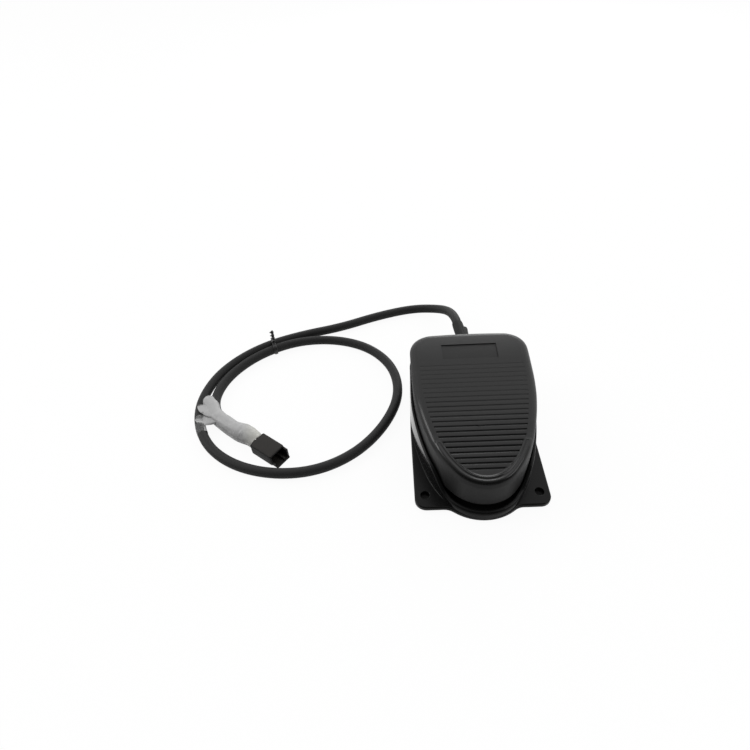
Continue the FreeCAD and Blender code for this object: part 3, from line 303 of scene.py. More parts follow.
class Value:
    """A number or colour on its way through a finish, with plain arithmetic."""

    def __init__(self, finish, socket):
        self.finish, self.socket = finish, socket

    def arithmetic(self, operation, first, second, clamp=False):
        settings = {"operation": operation, "use_clamp": clamp}
        return self.finish.node("ShaderNodeMath", settings, {0: first, 1: second})

    def __add__(self, other):
        return self.arithmetic("ADD", self, other)

    def __sub__(self, other):
        return self.arithmetic("SUBTRACT", self, other)

    def __rsub__(self, other):
        return self.arithmetic("SUBTRACT", other, self)

    def __mul__(self, other):
        return self.arithmetic("MULTIPLY", self, other)

    __radd__, __rmul__ = __add__, __mul__

    def clamped(self):
        return self.arithmetic("ADD", self, 0.0, True)


class Finish:
    """One finish of the pedal's surfaces: a tree of nodes and the shader that they feed."""

    def __init__(self, name):
        self.material = bpy.data.materials.new(name)
        self.material.use_nodes = True
        self.tree = self.material.node_tree
        self.shader = self.tree.nodes["Principled BSDF"]

    def feed(self, socket, value):
        if isinstance(value, Value):
            self.tree.links.new(value.socket, socket)
        else:
            socket.default_value = value

    def node(self, kind, settings=None, inputs=None, output=0):
        node = self.tree.nodes.new(kind)
        for name, value in (settings or {}).items():
            if name == "stops":
                for stop, (place, colour) in zip(node.color_ramp.elements, value):
                    stop.position, stop.color = place, colour
            else:
                setattr(node, name, value)
        for name, value in (inputs or {}).items():
            self.feed(node.inputs[name], value)
        return Value(self, node.outputs[output])

    def place(self, stretch=None):
        """Object coordinates, stretched or squeezed along the axes where that is asked."""
        place = self.node("ShaderNodeTexCoord", output=3)
        return self.node("ShaderNodeMapping", None, {0: place, 3: stretch}) if stretch else place

    def noise(self, scale, detail=2.0, roughness=0.5, place=None):
        return self.node("ShaderNodeTexNoise", None, {"Vector": place or self.place(), "Scale": scale,
                                                      "Detail": detail, "Roughness": roughness})

    def ramp(self, value, low, high, start=0.0, end=1.0):
        """The value between two limits, from one level to another."""
        return self.node("ShaderNodeMapRange", None, {0: value, 1: low, 2: high, 3: start, 4: end})

    def along(self, axis):
        """Place along an axis, in metres."""
        return self.node("ShaderNodeSeparateXYZ", None, {0: self.place()}, output=axis)

    def aside(self):
        """Distance from the pedal's middle plane, in metres."""
        place = self.along(0)
        return place.arithmetic("ABSOLUTE", place, 0.0)

    def facing_up(self):
        """How far the surface looks upwards: one for level, nothing for upright."""
        normal = self.node("ShaderNodeTexCoord", output=1)
        return self.node("ShaderNodeSeparateXYZ", None, {0: normal}, output=2)

    def mix(self, share, first, second):
        return self.node("ShaderNodeMix", {"data_type": "RGBA"}, {0: share, 6: first, 7: second}, output=2)

    def bump(self, height, distance, strength=1.0, under=None):
        inputs = {"Height": height, "Distance": distance, "Strength": strength}
        if under is not None:
            inputs["Normal"] = under
        return self.node("ShaderNodeBump", None, inputs)

    def surface(self, **inputs):
        for name, value in inputs.items():
            self.feed(self.shader.inputs[name.replace("_", " ").title().replace("Ior", "IOR")], value)


def grey(level, warmth=0.0):
    """Colour of a dark plastic: its level, a little warmer or cooler."""
    return (level * (1 + warmth), level, level * (1 - warmth), 1.0)


def dress(piece, finish):
    """Give a piece its finish."""
    piece.data.materials.clear()
    piece.data.materials.append(finish.material)


def part_way(*shares):
    """The smallest of some shares, kept between nothing and one."""
    return max(0.0, min(1.0, *shares))


def toe_share(y):
    """One round the toe, where the bead stands up, and nothing behind its ends."""
    return 1.0 if y < panel_end_y - 7 else 0.0


def panel_inset(y):
    """Distance of the tread panel's edge from the outline, wider inside the bead and most so at the nose."""
    return bead_width + 1.3 * part_way((nose_y + 14 - y) / 6) if toe_share(y) else groove_inset


def groove_sink(y):
    """How deep the grooves are cut: full depth at the toe, and shallower where the mould runs out."""
    return groove_depth * max(0.12, part_way((20.0 - y) / 44.0) ** 1.5)


treadle = start_flat("foot_plate", [beside_outline(point, plate_width, -panel_inset(point.y))
                                    for point in outline(plate_width, 0)])
half_groove, land_edge = groove_width / 2, 0.4
cut_all((0, 1, 0), [y + side * reach for y in groove_places for side in (-1, 1)
                    for reach in (half_groove, half_groove + land_edge)])
cut_all((0, 1, 0), [label_front_y, label_rear_y] + [crown_y - 8 + 2.5 * i for i in range(14)])
for side in (-1, 1):
    pick("faces", lambda face: label_front_y < face.calc_center_median().y < label_rear_y)
    bpy.ops.mesh.bisect(plane_co=(side * label_width / 2, 0, 0), plane_no=(1, 0, 0))
bpy.ops.mesh.select_all(action="SELECT")
set_corners(lambda corner: Vector((corner.x, corner.y, tread_height(corner.y) - sink(corner.y))))
pick("verts", lambda vertex: any(abs(abs(vertex.co.y - y) - half_groove) < 0.01 for y in groove_places))
set_corners(lambda corner: corner - Vector((0, 0, 0.18 * groove_sink(corner.y))))
pick("faces", lambda face: any(abs(face.calc_center_median().y - y) < half_groove for y in groove_places))
bpy.ops.mesh.extrude_region_move()
set_corners(lambda corner: corner - Vector((0, 0, 0.82 * groove_sink(corner.y))))
pick("faces", lambda face: label_front_y < face.calc_center_median().y < label_rear_y
     and abs(face.calc_center_median().x) < label_width / 2)
bpy.ops.mesh.extrude_region_move(TRANSFORM_OT_translate={"value": (0, 0, -label_depth)})
pick("edges", lambda edge: edge.is_boundary)
bead_rows = ((6.9, 0.9, 0.0), (6.4, 0.65, 0.0), (5.9, 0.35, 0.0), (5.5, 0.0, 0.1), (5.2, 0.0, 0.36),
             (4.95, 0.0, 0.42), (4.65, 0.0, 0.3), (4.3, 0.0, 0.08), (3.95, 0.0, 0.0), (3.6, 0.0, 0.08),
             (3.2, 0.0, 0.3), (2.85, 0.0, 0.46), (2.55, 0.0, 0.5))
for step, (inset, sunk, rise) in enumerate(bead_rows):
    pull_edge(lambda corner: beside(
        -min(inset, panel_inset(corner.y) - 0.05 * step) if toe_share(corner.y)
        else 0.02 * step - groove_inset,
        lambda y: tread_height(y) + (rise - sink(y) * sunk) * toe_share(y))(corner))


def edge_reach(y):
    """How far in the rounded edge of the tread starts: close round the toe, wide along the flanks."""
    return 2.4 + (groove_inset - 2.7) * part_way((y - panel_end_y + 12) / 10)


def overhang(y):
    """How far the rounded edge stands out over the tub along the flanks, with the skirt drawn in below it."""
    return 0.6 * part_way((y + 20) / 25, (rear_y - y) / 16)


def tuck(y):
    """How far the skirt's lower edge keeps inside where the tub tapers in towards the rear."""
    return 0.35 * part_way((y - 15) / 15)


def bowed(corner):
    """Where a corner goes once the top of the rear wall bows out a little at its middle."""
    share = max(0.0, 1 - (corner.x / 30) ** 2) * part_way((corner.y - 46) / 11, (corner.z - 33) / 8)
    return corner + Vector((0, 1.1 * share, 0))


for turn in [math.radians(5 * i) for i in range(19)]:
    pull_edge(lambda corner: beside(
        edge_reach(corner.y) * (math.sin(turn) - 1) + overhang(corner.y) * math.sin(turn),
        lambda y: tread_height(y) - edge_drop * (1 - math.cos(turn))
        + 0.45 * toe_share(y) * (1 - math.sin(turn)))(corner))
skirt_rows = ((0.9, 0.0, lambda y: tread_height(y) - edge_drop - 1.5),
              (-0.2, 0.6, lambda y: skirt_height(y) + 4.5), (-1.3, 1.0, lambda y: skirt_height(y) + 0.35))
for share, tucked, height in skirt_rows:
    pull_edge(lambda corner: beside(share * overhang(corner.y) - tucked * tuck(corner.y), height)(corner))
for offset, rise in ((-0.12, 0.08), (-0.4, 0.0), (0.4 - skirt_wall, 0.0), (-skirt_wall, 0.4)):
    pull_edge(lambda corner: beside(offset - 1.3 * overhang(corner.y) - tuck(corner.y),
                                    lambda y: skirt_height(y) + rise)(corner))
pull_edge(beside(-skirt_wall, under_tread))
bpy.ops.mesh.edge_face_add()
for y in [crown_y - 6 + 3 * i for i in range(11)]:
    pick("faces", lambda face: face.normal.z < -0.9 and face.calc_area() > 100)
    bpy.ops.mesh.bisect(plane_co=(0, y, 0), plane_no=(0, 1, 0))
bpy.ops.mesh.select_all(action="SELECT")
set_corners(bowed)
bpy.ops.object.mode_set(mode="OBJECT")

spring_y, stop_y, hook_y, actuator_y = -11.05, -41.85, -26.45, 8.35
spring_top, spring_spigot, seat_radius = under_tread(spring_y) - 3.3, 4.5, 7.2
actuator_seat, hook_low, lug_x, lug_radius = under_tread(actuator_y), 9.4, 19.0, 4.2
inside = [stud(seat_radius, spring_top, under_tread(spring_y) + 1.3, (0, spring_y, 0)),
          stud(spring_spigot, spring_top - 3.5, spring_top + 0.5, (0, spring_y, 0)),
          stud(3.6, 14.59, under_tread(stop_y) + 1.0, (0, stop_y, 0)),
          turned([(2.0, actuator_seat - 0.8), (2.0, actuator_seat - 3.8), (4.1, actuator_seat - 3.8),
                  (4.4, actuator_seat - 3.5), (4.4, actuator_seat + 1.2), (0, actuator_seat + 1.2),
                  (0, actuator_seat - 0.8)], (0, actuator_y, 0)),
          block(-4, 4, hook_y + 4.0, hook_y + 6.2, hook_low, under_tread(hook_y + 5) + 1),
          block(-4, 4, hook_y - 2.0, hook_y + 6.2, hook_low, 12.8)]
for side in (-1, 1):
    inside.append(stud(lug_radius, -2, 2, (side * lug_x, hinge_y, hinge_z), "X", bore=2.05))
    inside.append(block(side * lug_x - 2, side * lug_x + 2, hinge_y - lug_radius, hinge_y + lug_radius,
                        hinge_z + 2.6, under_tread(hinge_y) + 1))
join(treadle, inside)
finish_mesh(treadle)

satin = Finish("foot plate plastic")
grain = satin.noise(2600.0, 2.0, 0.6)
cloud = satin.noise(55.0, 4.0, 0.6)
scuffs = satin.ramp(satin.noise(150.0, 6.0, 0.7, satin.place((1.0, 5.0, 1.0))), 0.58, 0.8)
toe = satin.ramp(satin.along(1), -0.02, -0.05)
facing = satin.facing_up()
upper = satin.ramp(facing, 0.7, 0.93)
rounded = satin.ramp(facing, 0.2, 0.4) * satin.ramp(facing, 0.94, 0.85)
field = (satin.ramp(satin.aside(), 0.0186, 0.0181) * satin.ramp(satin.along(1), 0.0332, 0.0336)
         * satin.ramp(satin.along(1), 0.0461, 0.0457))
plain = satin.mix(cloud, grey(0.012), grey(0.016))
# Base colour: lighter on the tread, near-black on the skirt, the rounded edges and every face that does not
# look up. This is painted shade on the sides of one black moulding.
skin_with_painted_shade = satin.mix(upper, grey(0.003), satin.mix(field, plain, grey(0.008, 0.0012)))
worn = 0.46 + 0.1 * cloud + 0.08 * scuffs - upper * (0.14 + 0.14 * toe) + 0.06 * field - 0.24 * rounded
satin.surface(base_color=satin.mix(scuffs * 0.5, skin_with_painted_shade, grey(0.024)), roughness=worn, specular_ior_level=0.25,
              normal=satin.bump(grain, 0.00002, 0.5, satin.bump(cloud, 0.0004, 0.15)))
dress(treadle, satin)
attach(treadle, "foot_plate")
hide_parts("treadle")


# Base: one injection moulding in the same black plastic, a flat plate with two screw ears and a rounded lip
# and on it a tall tub wall that follows the foot plate. Inside stand the spring's pedestal, the pad's socket,
# the bar for the foot plate's hook, the switch's rib, the cord clamp's lower half and the two hinge posts.
plate_bottom, plate_top, ear_round = 1.2, 4.2, 1.0
base_front_y, base_rear_y, ear_x = -60.95, 60.95, 41.5
tub_outer, tub_outer_reach, tub_inner, tub_inner_reach = 75.6, 3.1, 77.2, 0.9
lip_radius, lip_blend, ear_corner = 31.0, 9.0, 7.0
ear_front_y, ear_hole_radius, foot_radius = base_front_y + 8.1, 2.75, 5.02
ear_hole_places = [(side * 34.9, ear_front_y + 9.2) for side in (-1, 1)]
foot_places = [(side * x, y) for x, y in ((25.0, -38.25), (29.0, 45.35)) for side in (-1, 1)]
rim_nose, rim_shoulder, rim_rear = (nose_y + 6.8, 8.5), (nose_y + 26.6, 20.8), (rear_y, 32.4)
cord_exit = Vector((4.0, base_rear_y, 19.5))


def rim_height(y):
    """Height of the tub's rim: low round the toe, up to a shoulder, then rising to the rear."""
    (y0, z0), (y1, z1), (y2, z2) = rim_nose, rim_shoulder, rim_rear
    slope = (z2 - z1) / (y2 - y1)
    if y <= y0:
        return z0
    if y >= y1:
        return z1 + (y - y1) * slope
    share = (y - y0) / (y1 - y0)
    low, high = z0, z1 - (y1 - y0) / 2 * slope
    for _ in range(20):
        reach = 3 * share * (1 - share) / 2 + share ** 3
        share += ((y - y0) / (y1 - y0) - reach) / (1.5 * (1 - 2 * share) + 3 * share ** 2)
    left = 1 - share
    return left ** 3 * z0 + 3 * share * left ** 2 * low + 3 * share ** 2 * left * high + share ** 3 * z1


def plate_points():
    """Right half of the plate's outline: the lip, its blend, the ear, and the tub's corner at the rear."""
    lip = Vector((0, base_front_y + lip_radius))
    blend_y = ear_front_y - lip_blend
    spread = lip_radius + lip_blend
    blend = Vector((math.sqrt(spread ** 2 - (blend_y - lip.y) ** 2), blend_y))
    turn = math.atan2(blend.x, lip.y - blend.y)
    points = arc_points(lip, lip_radius, 0, turn)
    points += arc_points(blend, lip_blend, turn + math.pi, math.pi)
    corner = Vector((ear_x - ear_corner, ear_front_y + ear_corner))
    points += arc_points(corner, ear_corner, 0, math.pi / 2)
    centre, radius, start, end = outline_arcs(tub_outer)[3]
    return points + arc_points(centre, radius + tub_outer_reach, start, end)


def drawn_in(y):
    """How far the sides of the plate and tub taper in towards the rear, up to the corner."""
    return 1.1 * part_way((y - 10.0) / 30.0, (rear_y - y) / 6.0)


def inwards(points, inset):
    """Ring moved in by the inset, square to its edge."""
    count = len(points)
    moved = []
    for i, point in enumerate(points):
        along = (points[(i + 1) % count] - points[i - 1]).normalized()
        moved.append(point + Vector((-along.y, along.x)) * inset)
    return moved


def pull_ring(rings):
    """Extrude the selected loop through rings of points at their heights, corner by corner."""
    for points, height in rings:
        bpy.ops.mesh.extrude_edges_move()
        mesh = bmesh.from_edit_mesh(bpy.context.object.data)
        mesh.verts.ensure_lookup_table()
        picked = [vertex for vertex in mesh.verts if vertex.select]
        for vertex in picked:
            near = min(range(len(last_ring)), key=lambda i: (last_ring[i] - vertex.co.xy).length_squared)
            vertex.co = (points[near].x, points[near].y, height)
        last_ring[:] = points
        bmesh.update_edit_mesh(bpy.context.object.data)


edge_ring = [Vector((point.x - math.copysign(drawn_in(point.y), point.x), point.y))
             for point in all_round(plate_points())]
last_ring = inwards(edge_ring, ear_round)
base = start_flat("base_moulding", last_ring, plate_top)
pick("edges", lambda edge: edge.is_boundary)
quarter = [math.radians(15 * i) for i in range(7)]
lip_rows = [(inwards(edge_ring, ear_round * (1 - math.sin(turn))),
             plate_top - ear_round * (1 - math.cos(turn))) for turn in quarter[1:]]
pull_ring(lip_rows + [(edge_ring, plate_bottom + 0.3), (inwards(edge_ring, 0.3), plate_bottom)])
bpy.ops.mesh.edge_face_add()
bpy.ops.object.mode_set(mode="OBJECT")
cut_out(base, [stud(ear_hole_radius, 0, 6, (x, y, 0)) for x, y in ear_hole_places]
        + [stud(foot_radius, 0, 2.7, (x, y, 0), edge=0.05) for x, y in foot_places])


def at_hole_rim(corner):
    """Whether a corner of the plate lies on the upper rim of a screw hole."""
    gap = min((corner.xy - Vector(hole)).length for hole in ear_hole_places)
    return abs(corner.z - plate_top) < 0.01 and gap < ear_hole_radius + 0.05


bpy.ops.object.mode_set(mode="EDIT")
pick("edges", lambda edge: all(at_hole_rim(vertex.co) for vertex in edge.verts))
bpy.ops.mesh.bevel(offset=0.35, segments=3, affect="EDGES")
bpy.ops.object.mode_set(mode="OBJECT")


def lip_share(y):
    """One round the toe, where the tub's wall runs down into the lip, and nothing beside the ears."""
    return part_way((nose_y + 12.0 - y) / 8.0)


def wall_reach(y):
    """Distance of the tub's outer face from its outline, out to the lip's edge round the toe."""
    return tub_outer_reach + 0.02 + 0.6 * lip_share(y) - drawn_in(y)


def foot(corner):
    """Size of the rounding at the wall's foot, where the plate goes on beyond it."""
    edge_gap = ear_x - 1.0 - abs(beside_outline(corner, tub_outer, tub_outer_reach).x)
    return max(0.0, min(0.6, edge_gap / 3)) * (1 - lip_share(corner.y))


tub = start_flat("tub", outline(tub_outer, tub_outer_reach + 0.02), plate_bottom + 0.05)
bpy.ops.mesh.delete(type="ONLY_FACE")
bpy.ops.mesh.select_all(action="SELECT")
set_corners(lambda corner: beside(wall_reach(corner.y) - 0.4, lambda y: plate_bottom + 0.05,
                                  tub_outer)(corner))
pull_edge(lambda corner: beside(wall_reach(corner.y) - 0.05, lambda y: plate_bottom + 0.4,
                                tub_outer)(corner))
for turn in quarter:
    pull_edge(lambda corner: beside(
        wall_reach(corner.y) + foot(corner) * (1 - math.sin(turn)),
        lambda y: plate_top + 0.02 - 0.4 * lip_share(y) + foot(corner) * (1 - math.cos(turn)),
        tub_outer)(corner))
for turn in quarter:
    pull_edge(lambda corner: beside(
        wall_reach(corner.y) - (1.0 + lip_share(corner.y)) * (1 - math.cos(turn)),
        lambda y: rim_height(y) - (1.0 + 1.2 * lip_share(y)) * (1 - math.sin(turn)), tub_outer)(corner))
for offset, drop in ((0.4, 0.0), (0.2, 0.03), (0.07, 0.12), (0.0, 0.35)):
    pull_edge(lambda corner: beside(tub_inner_reach + offset - 0.65 * drawn_in(corner.y),
                                    lambda y: rim_height(y) - drop, tub_inner)(corner))
pull_edge(lambda corner: beside(tub_inner_reach - 0.65 * drawn_in(corner.y), lambda y: plate_bottom + 0.35,
                                tub_inner)(corner))
pick("edges", lambda edge: edge.is_boundary)
bpy.ops.mesh.bridge_edge_loops()
close_up(0.005)
bpy.ops.object.mode_set(mode="OBJECT")
cut_out(tub, [stud(5.02, -8, 3, cord_exit, "Y")])

switch_front_y, switch_rear_y, rooted_z = 4.35, 32.15, 3.5
switch_screw_places, clamp_screw_places, screw_hole_radius = (7.15, 29.35), (-3.6, 11.6), 1.52
post_x, post_radius = 23.8, 5.0
inside = [tub, stud(seat_radius, rooted_z, 12.0, (0, spring_y, 0)),
          stud(spring_spigot, 11.5, 15.5, (0, spring_y, 0)),
          turned([(4.52, 4.0), (6.32, 4.0), (6.32, 6.4), (6.0, 6.7), (4.8, 6.7), (4.52, 6.4)],
                 (0, stop_y, 0)),
          block(-16, 16, hook_y - 2, hook_y + 2, 13, 16),
          block(5.15, 8.15, switch_front_y, switch_rear_y, rooted_z, 26.9)]
rib = inside[-1]
inside += [block(x, x + 3, hook_y - 2, hook_y + 2, rooted_z, 15.9) for x in (-16, 13)]
for y in (switch_front_y, switch_rear_y - 2):
    inside.append(block(-5.15, 5.3, y, y + 2, rooted_z, 12.0))
    gusset = block(8.0, 15.15, y, y + 2, rooted_z, 26.5, 0.2)
    bpy.ops.object.mode_set(mode="EDIT")
    pick("verts", lambda vertex: vertex.co.z > 15)
    set_corners(lambda c: Vector((8.1 + (c.x - 8.0) * 0.04, c.y, c.z)))
    bpy.ops.object.mode_set(mode="OBJECT")
    inside.append(gusset)
for side in (-1, 1):
    inside.append(stud(post_radius, -2, 2, (side * post_x, hinge_y, hinge_z), "X", bore=2.02))
    inside.append(block(side * post_x - 2, side * post_x + 2, hinge_y - post_radius, hinge_y + post_radius,
                        rooted_z, hinge_z - 2.4))
seat = block(-7, 15, hinge_y - 3, hinge_y + 3, rooted_z, 19.35)
cut_out(seat, [stud(3.52, -4, 4, (4, hinge_y, 19.5), "Y")]
        + [stud(screw_hole_radius, 12.5, 21, (x, hinge_y, 0)) for x in clamp_screw_places])
cut_out(rib, [stud(screw_hole_radius, -3, 3, (6.65, y, 22.0), "X") for y in switch_screw_places])
join(base, inside + [seat])
finish_mesh(base)

gloss = Finish("base plastic")
grain = gloss.noise(2200.0, 2.0, 0.6)
cloud = gloss.noise(45.0, 4.0, 0.6)
flow = gloss.noise(18.0, 2.0, 0.5)
scuffs = gloss.ramp(gloss.noise(220.0, 6.0, 0.75, gloss.place((1.0, 3.0, 3.0))), 0.6, 0.8)
wall = gloss.ramp(gloss.facing_up(), 0.4, 0.1)
gloss.surface(base_color=gloss.mix(scuffs * 0.5, gloss.mix(cloud, grey(0.004), grey(0.006)), grey(0.02)),
              roughness=0.22 + 0.08 * cloud + 0.12 * scuffs - 0.13 * wall, specular_ior_level=0.13,
              normal=gloss.bump(grain, 0.00001, 0.4, gloss.bump(flow, 0.0006, 0.25)))
dress(base, gloss)
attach(base, "base")
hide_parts("base_housing")


# Cord: 7 mm round flex in a black rubber jacket. It comes out of the rear boot, bends down to the floor
# and lies in one open loop, held by a tie where its end runs beside its start.
cord_radius = 0.0035
cord_route = [
    (2.6, 84.5, 19.5), (1.0, 95.5, 19.5), (-0.2, 110.5, 19.5), (-3.4, 127.4, 13.5), (-12.4, 139.2, 7.2),
    (-33.0, 144.5, 4.0), (-63.0, 136.8, 3.5), (-93.0, 123.9, 3.5), (-124.0, 115.4, 4.2),
    (-152.4, 103.6, 4.6), (-175.0, 86.8, 3.7), (-189.6, 64.3, 3.5), (-194.2, 34.9, 3.5), (-183.8, 5.9, 3.5),
    (-163.0, -13.6, 3.5), (-134.6, -23.6, 3.5), (-104.5, -22.6, 3.5), (-78.0, -9.1, 3.5),
    (-58.0, 14.9, 3.5), (-47.0, 43.9, 3.5), (-51.0, 73.9, 3.5), (-69.5, 97.4, 3.5), (-97.5, 108.9, 3.5),
    (-129.5, 106.9, 4.5), (-158.5, 91.9, 4.3), (-178.3, 69.2, 3.7), (-184.3, 43.0, 4.2),
    (-174.2, 22.4, 4.4), (-149.9, 5.6, 4.4)]

jacket = Finish("cord jacket")
mottle = jacket.noise(400.0, 3.0)
scuff = jacket.noise(60.0, 4.0, 0.6)
jacket.surface(base_color=jacket.mix(scuff, grey(0.017), grey(0.026)), roughness=0.48 + 0.16 * scuff,
               specular_ior_level=0.14, normal=jacket.bump(mottle, 0.00008, 0.6))

cord_curve = bpy.data.curves.new("cord_run", "CURVE")
cord_curve.dimensions = "3D"
cord_curve.bevel_depth = cord_radius
cord_curve.bevel_resolution = 8
cord_curve.resolution_u = 10
cord_curve.use_fill_caps = True
spline = cord_curve.splines.new("NURBS")
spline.points.add(len(cord_route) - 1)
for point, corner in zip(spline.points, cord_route):
    point.co = (*(Vector(corner) * millimetre), 1.0)
spline.order_u = 3
spline.use_endpoint_u = True
spline.resolution_u = 10
cord = bpy.data.objects.new("cord_run", cord_curve)
bpy.context.scene.collection.objects.link(cord)
cord_curve.materials.append(jacket.material)
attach(cord, "base")
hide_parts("cord")


# Strain relief: a soft rubber boot moulded round the cord. Its collar grips both sides of the tub's rear
# wall, three flex grooves run round its thick part, and a slim sleeve leaves its rounded shoulder and bends
# with the cord.
boot_rubber = Finish("boot rubber")
speckle = boot_rubber.noise(900.0, 3.0, 0.6)
handling = boot_rubber.noise(70.0, 4.0, 0.6)
boot_rubber.surface(base_color=boot_rubber.mix(handling, grey(0.013), grey(0.020)),
                    roughness=0.55 + 0.15 * handling, specular_ior_level=0.12,
                    normal=boot_rubber.bump(speckle, 0.00006, 0.5))
guide = cord_curve.copy()
guide.bevel_depth = 0.0
guide_object = bpy.data.objects.new("guide", guide)
bpy.context.scene.collection.objects.link(guide_object)
bpy.context.view_layer.update()
bare_guide = guide_object.evaluated_get(bpy.context.evaluated_depsgraph_get())
strand_mesh = bpy.data.meshes.new_from_object(bare_guide)
strand = [vertex.co / millimetre for vertex in strand_mesh.vertices]
bpy.data.objects.remove(guide_object)
boot_start, shoulder_start, sleeve_end = base_rear_y + 2.5, base_rear_y + 15.5, base_rear_y + 42.0
collar_start, wall_inner, cord_start = base_rear_y - 3.6, base_rear_y - 2.2, cord_route[0][1]
boot_bore, boot_radius = 3.52, 6.8
profile = [(boot_bore, collar_start), (6.6, collar_start), (boot_radius, collar_start + 0.2),
           (boot_radius, wall_inner - 0.2), (6.6, wall_inner), (5.0, wall_inner), (5.0, base_rear_y),
           (6.6, base_rear_y), (boot_radius, base_rear_y + 0.2), (boot_radius, boot_start - 0.2)]
for i in range(27):
    y = boot_start + i * 0.5
    groove = any(abs(y - (base_rear_y + 5.2 + 3.8 * k)) < 0.6 for k in range(3))
    profile.append((boot_radius - 0.01 * i - (0.6 if groove else 0.0), y))
for turn in [math.radians(10 * i) for i in range(1, 9)]:
    profile.append((4.5 + 1.93 * math.cos(turn), shoulder_start + 4.6 * math.sin(turn)))
sleeve_places = [shoulder_start + 5.2 + 1.3 * i for i in range(16)]
profile += [(4.42 - 0.02 * i, y) for i, y in enumerate(sleeve_places)]
profile += [(4.0, sleeve_end - 0.4), (3.8, sleeve_end), (boot_bore, sleeve_end)]
profile += [(boot_bore, y) for y in reversed(sleeve_places)] + [(boot_bore, cord_start - 6.0)]


def beside_strand(corner):
    """Where a corner of the straight boot goes once its sleeve bends with the cord."""
    y = max(corner.y, cord_start + 0.01)
    near, far = next((near, far) for near, far in zip(strand, strand[1:]) if near.y <= y < far.y)
    shift = near.lerp(far, (y - near.y) / (far.y - near.y)) - Vector((cord_exit.x, y, cord_exit.z))
    return corner + shift * part_way((corner.y - cord_start + 6.0) / 6.0)


boot = turned(profile, (cord_exit.x, 0.0, cord_exit.z), "Y", 48)
for vertex in boot.data.vertices:
    vertex.co = beside_strand(vertex.co)
boot.name = "strain_relief_boot"
finish_mesh(boot, 50)
dress(boot, boot_rubber)
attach(boot, "base")
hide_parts("cord_boot")


# Cord tie: a black coated wire tie, flat in section, closed round both strands where the cord's end runs
# beside its start. Its two ends are twisted together and stand up.
tie_place, tie_width, tie_thickness, tail_height = Vector((-146.0, 106.4, 4.5)), 2.6, 0.7, 9.0


def nearest_on_strand(place, first, last):
    """The point of a stretch of the cord's middle line, given as shares of its length, nearest to a place."""
    stretch = strand[int(first * len(strand)):int(last * len(strand))]
    return min(stretch, key=lambda point: (point - place).length)


outer_strand = nearest_on_strand(tie_place, 0.0, 0.45)
inner_strand = nearest_on_strand(outer_strand, 0.6, 1.0)
across_tie = (inner_strand - outer_strand).normalized()
along_tie = Vector((-across_tie.y, across_tie.x, 0)).normalized()
up_tie = across_tie.cross(along_tie)
tie_middle, half_gap = (outer_strand + inner_strand) / 2, (inner_strand - outer_strand).length / 2
loop_radius = cord_radius / millimetre + 0.15 + tie_thickness / 2
half_band, half_thick = tie_width / 2, tie_thickness / 2
flat, upright = half_band - 0.2, half_thick - 0.2
tie_section = ((-half_band, -upright), (-flat, -half_thick), (flat, -half_thick), (half_band, -upright),
               (half_band, upright), (flat, half_thick), (0.4, half_thick), (0.3, half_thick + 0.15),
               (-0.3, half_thick + 0.15), (-0.4, half_thick), (-flat, half_thick), (-half_band, upright))
tie = start_flat("wire_tie", [Vector(corner) for corner in tie_section])
bpy.ops.mesh.delete(type="ONLY_FACE")
bpy.ops.mesh.select_all(action="SELECT")
set_corners(lambda c: Vector((-half_gap, c.x, loop_radius + c.y)))
pull_edge(lambda c: c + Vector((half_gap * 2, 0, 0)))
for centre_x in (half_gap, -half_gap):
    for step in range(16):
        turn = Matrix.Rotation(math.pi / 16, 3, "Y")
        pull_edge(lambda c: Vector((centre_x, 0, 0)) + turn @ (c - Vector((centre_x, 0, 0))))
    if centre_x > 0:
        pull_edge(lambda c: c - Vector((half_gap * 2, 0, 0)))
for side in (0, math.pi):
    bpy.ops.mesh.primitive_circle_add(vertices=10, radius=0.8, fill_type="NGON", location=(0, 0, 0))
    off_axis = Vector((math.cos(side), math.sin(side), 0)) * 0.7
    set_corners(lambda c: Vector((c.x * 1.4, c.y * 0.7, loop_radius)) + off_axis)
    for step in range(24):
        turn = Matrix.Rotation(math.radians(28), 3, "Z")
        lean = Vector((-0.12, 0.03 * math.sin(step / 3), tail_height / 24))
        shift = Vector((-0.12, 0, 0)) * step
        pull_edge(lambda c: turn @ (c - shift) + shift + lean)
    bpy.ops.mesh.edge_face_add()
close_up(0.01)
set_corners(lambda c: tie_middle + across_tie * c.x + along_tie * c.y + up_tie * c.z)
bpy.ops.object.mode_set(mode="OBJECT")
finish_mesh(tie, 40)
coating = Finish("tie coating")
wrinkle = coating.noise(1200.0, 3.0, 0.6)
coating.surface(base_color=coating.mix(wrinkle, grey(0.008), grey(0.018)), roughness=0.3 + 0.2 * wrinkle,
                normal=coating.bump(wrinkle, 0.00005, 0.5))
dress(tie, coating)
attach(tie, "base")
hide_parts("cord_tie")


# Connector: a small moulded housing in dark nylon on the cord's end, hollow at its mouth, with a long lower
# lip, a short one at each side, a keyed tongue and a thin rib down each flank. Three square tinned pins stand
# in it, and three thin leads go in at its rear.
connector_turn, rear_middle = math.radians(-37.3), Vector((-145.4, 2.2, 4.8))
along_connector = Vector((math.cos(connector_turn), math.sin(connector_turn), 0))
across_connector = Vector((-along_connector.y, along_connector.x, 0))
shell_length, half_width, half_height, shell_wall = 19.6, 6.6, 4.8, 1.1
mouth_start, low, steps, lead_pitch, pin_pitch = shell_length - 12.0, -half_height, (-1, 0, 1), 2.2, 4.0


def set_on_connector(piece, name):
    """Move a piece modelled along X from the origin to the connector's place, and finish its mesh."""
    piece.name = name
    take(piece)
    bpy.ops.object.mode_set(mode="EDIT")
    bpy.ops.mesh.select_all(action="SELECT")
    set_corners(lambda c: rear_middle + along_connector * c.x + across_connector * c.y + Vector((0, 0, c.z)))
    bpy.ops.object.mode_set(mode="OBJECT")
    finish_mesh(piece)
    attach(piece, "base")


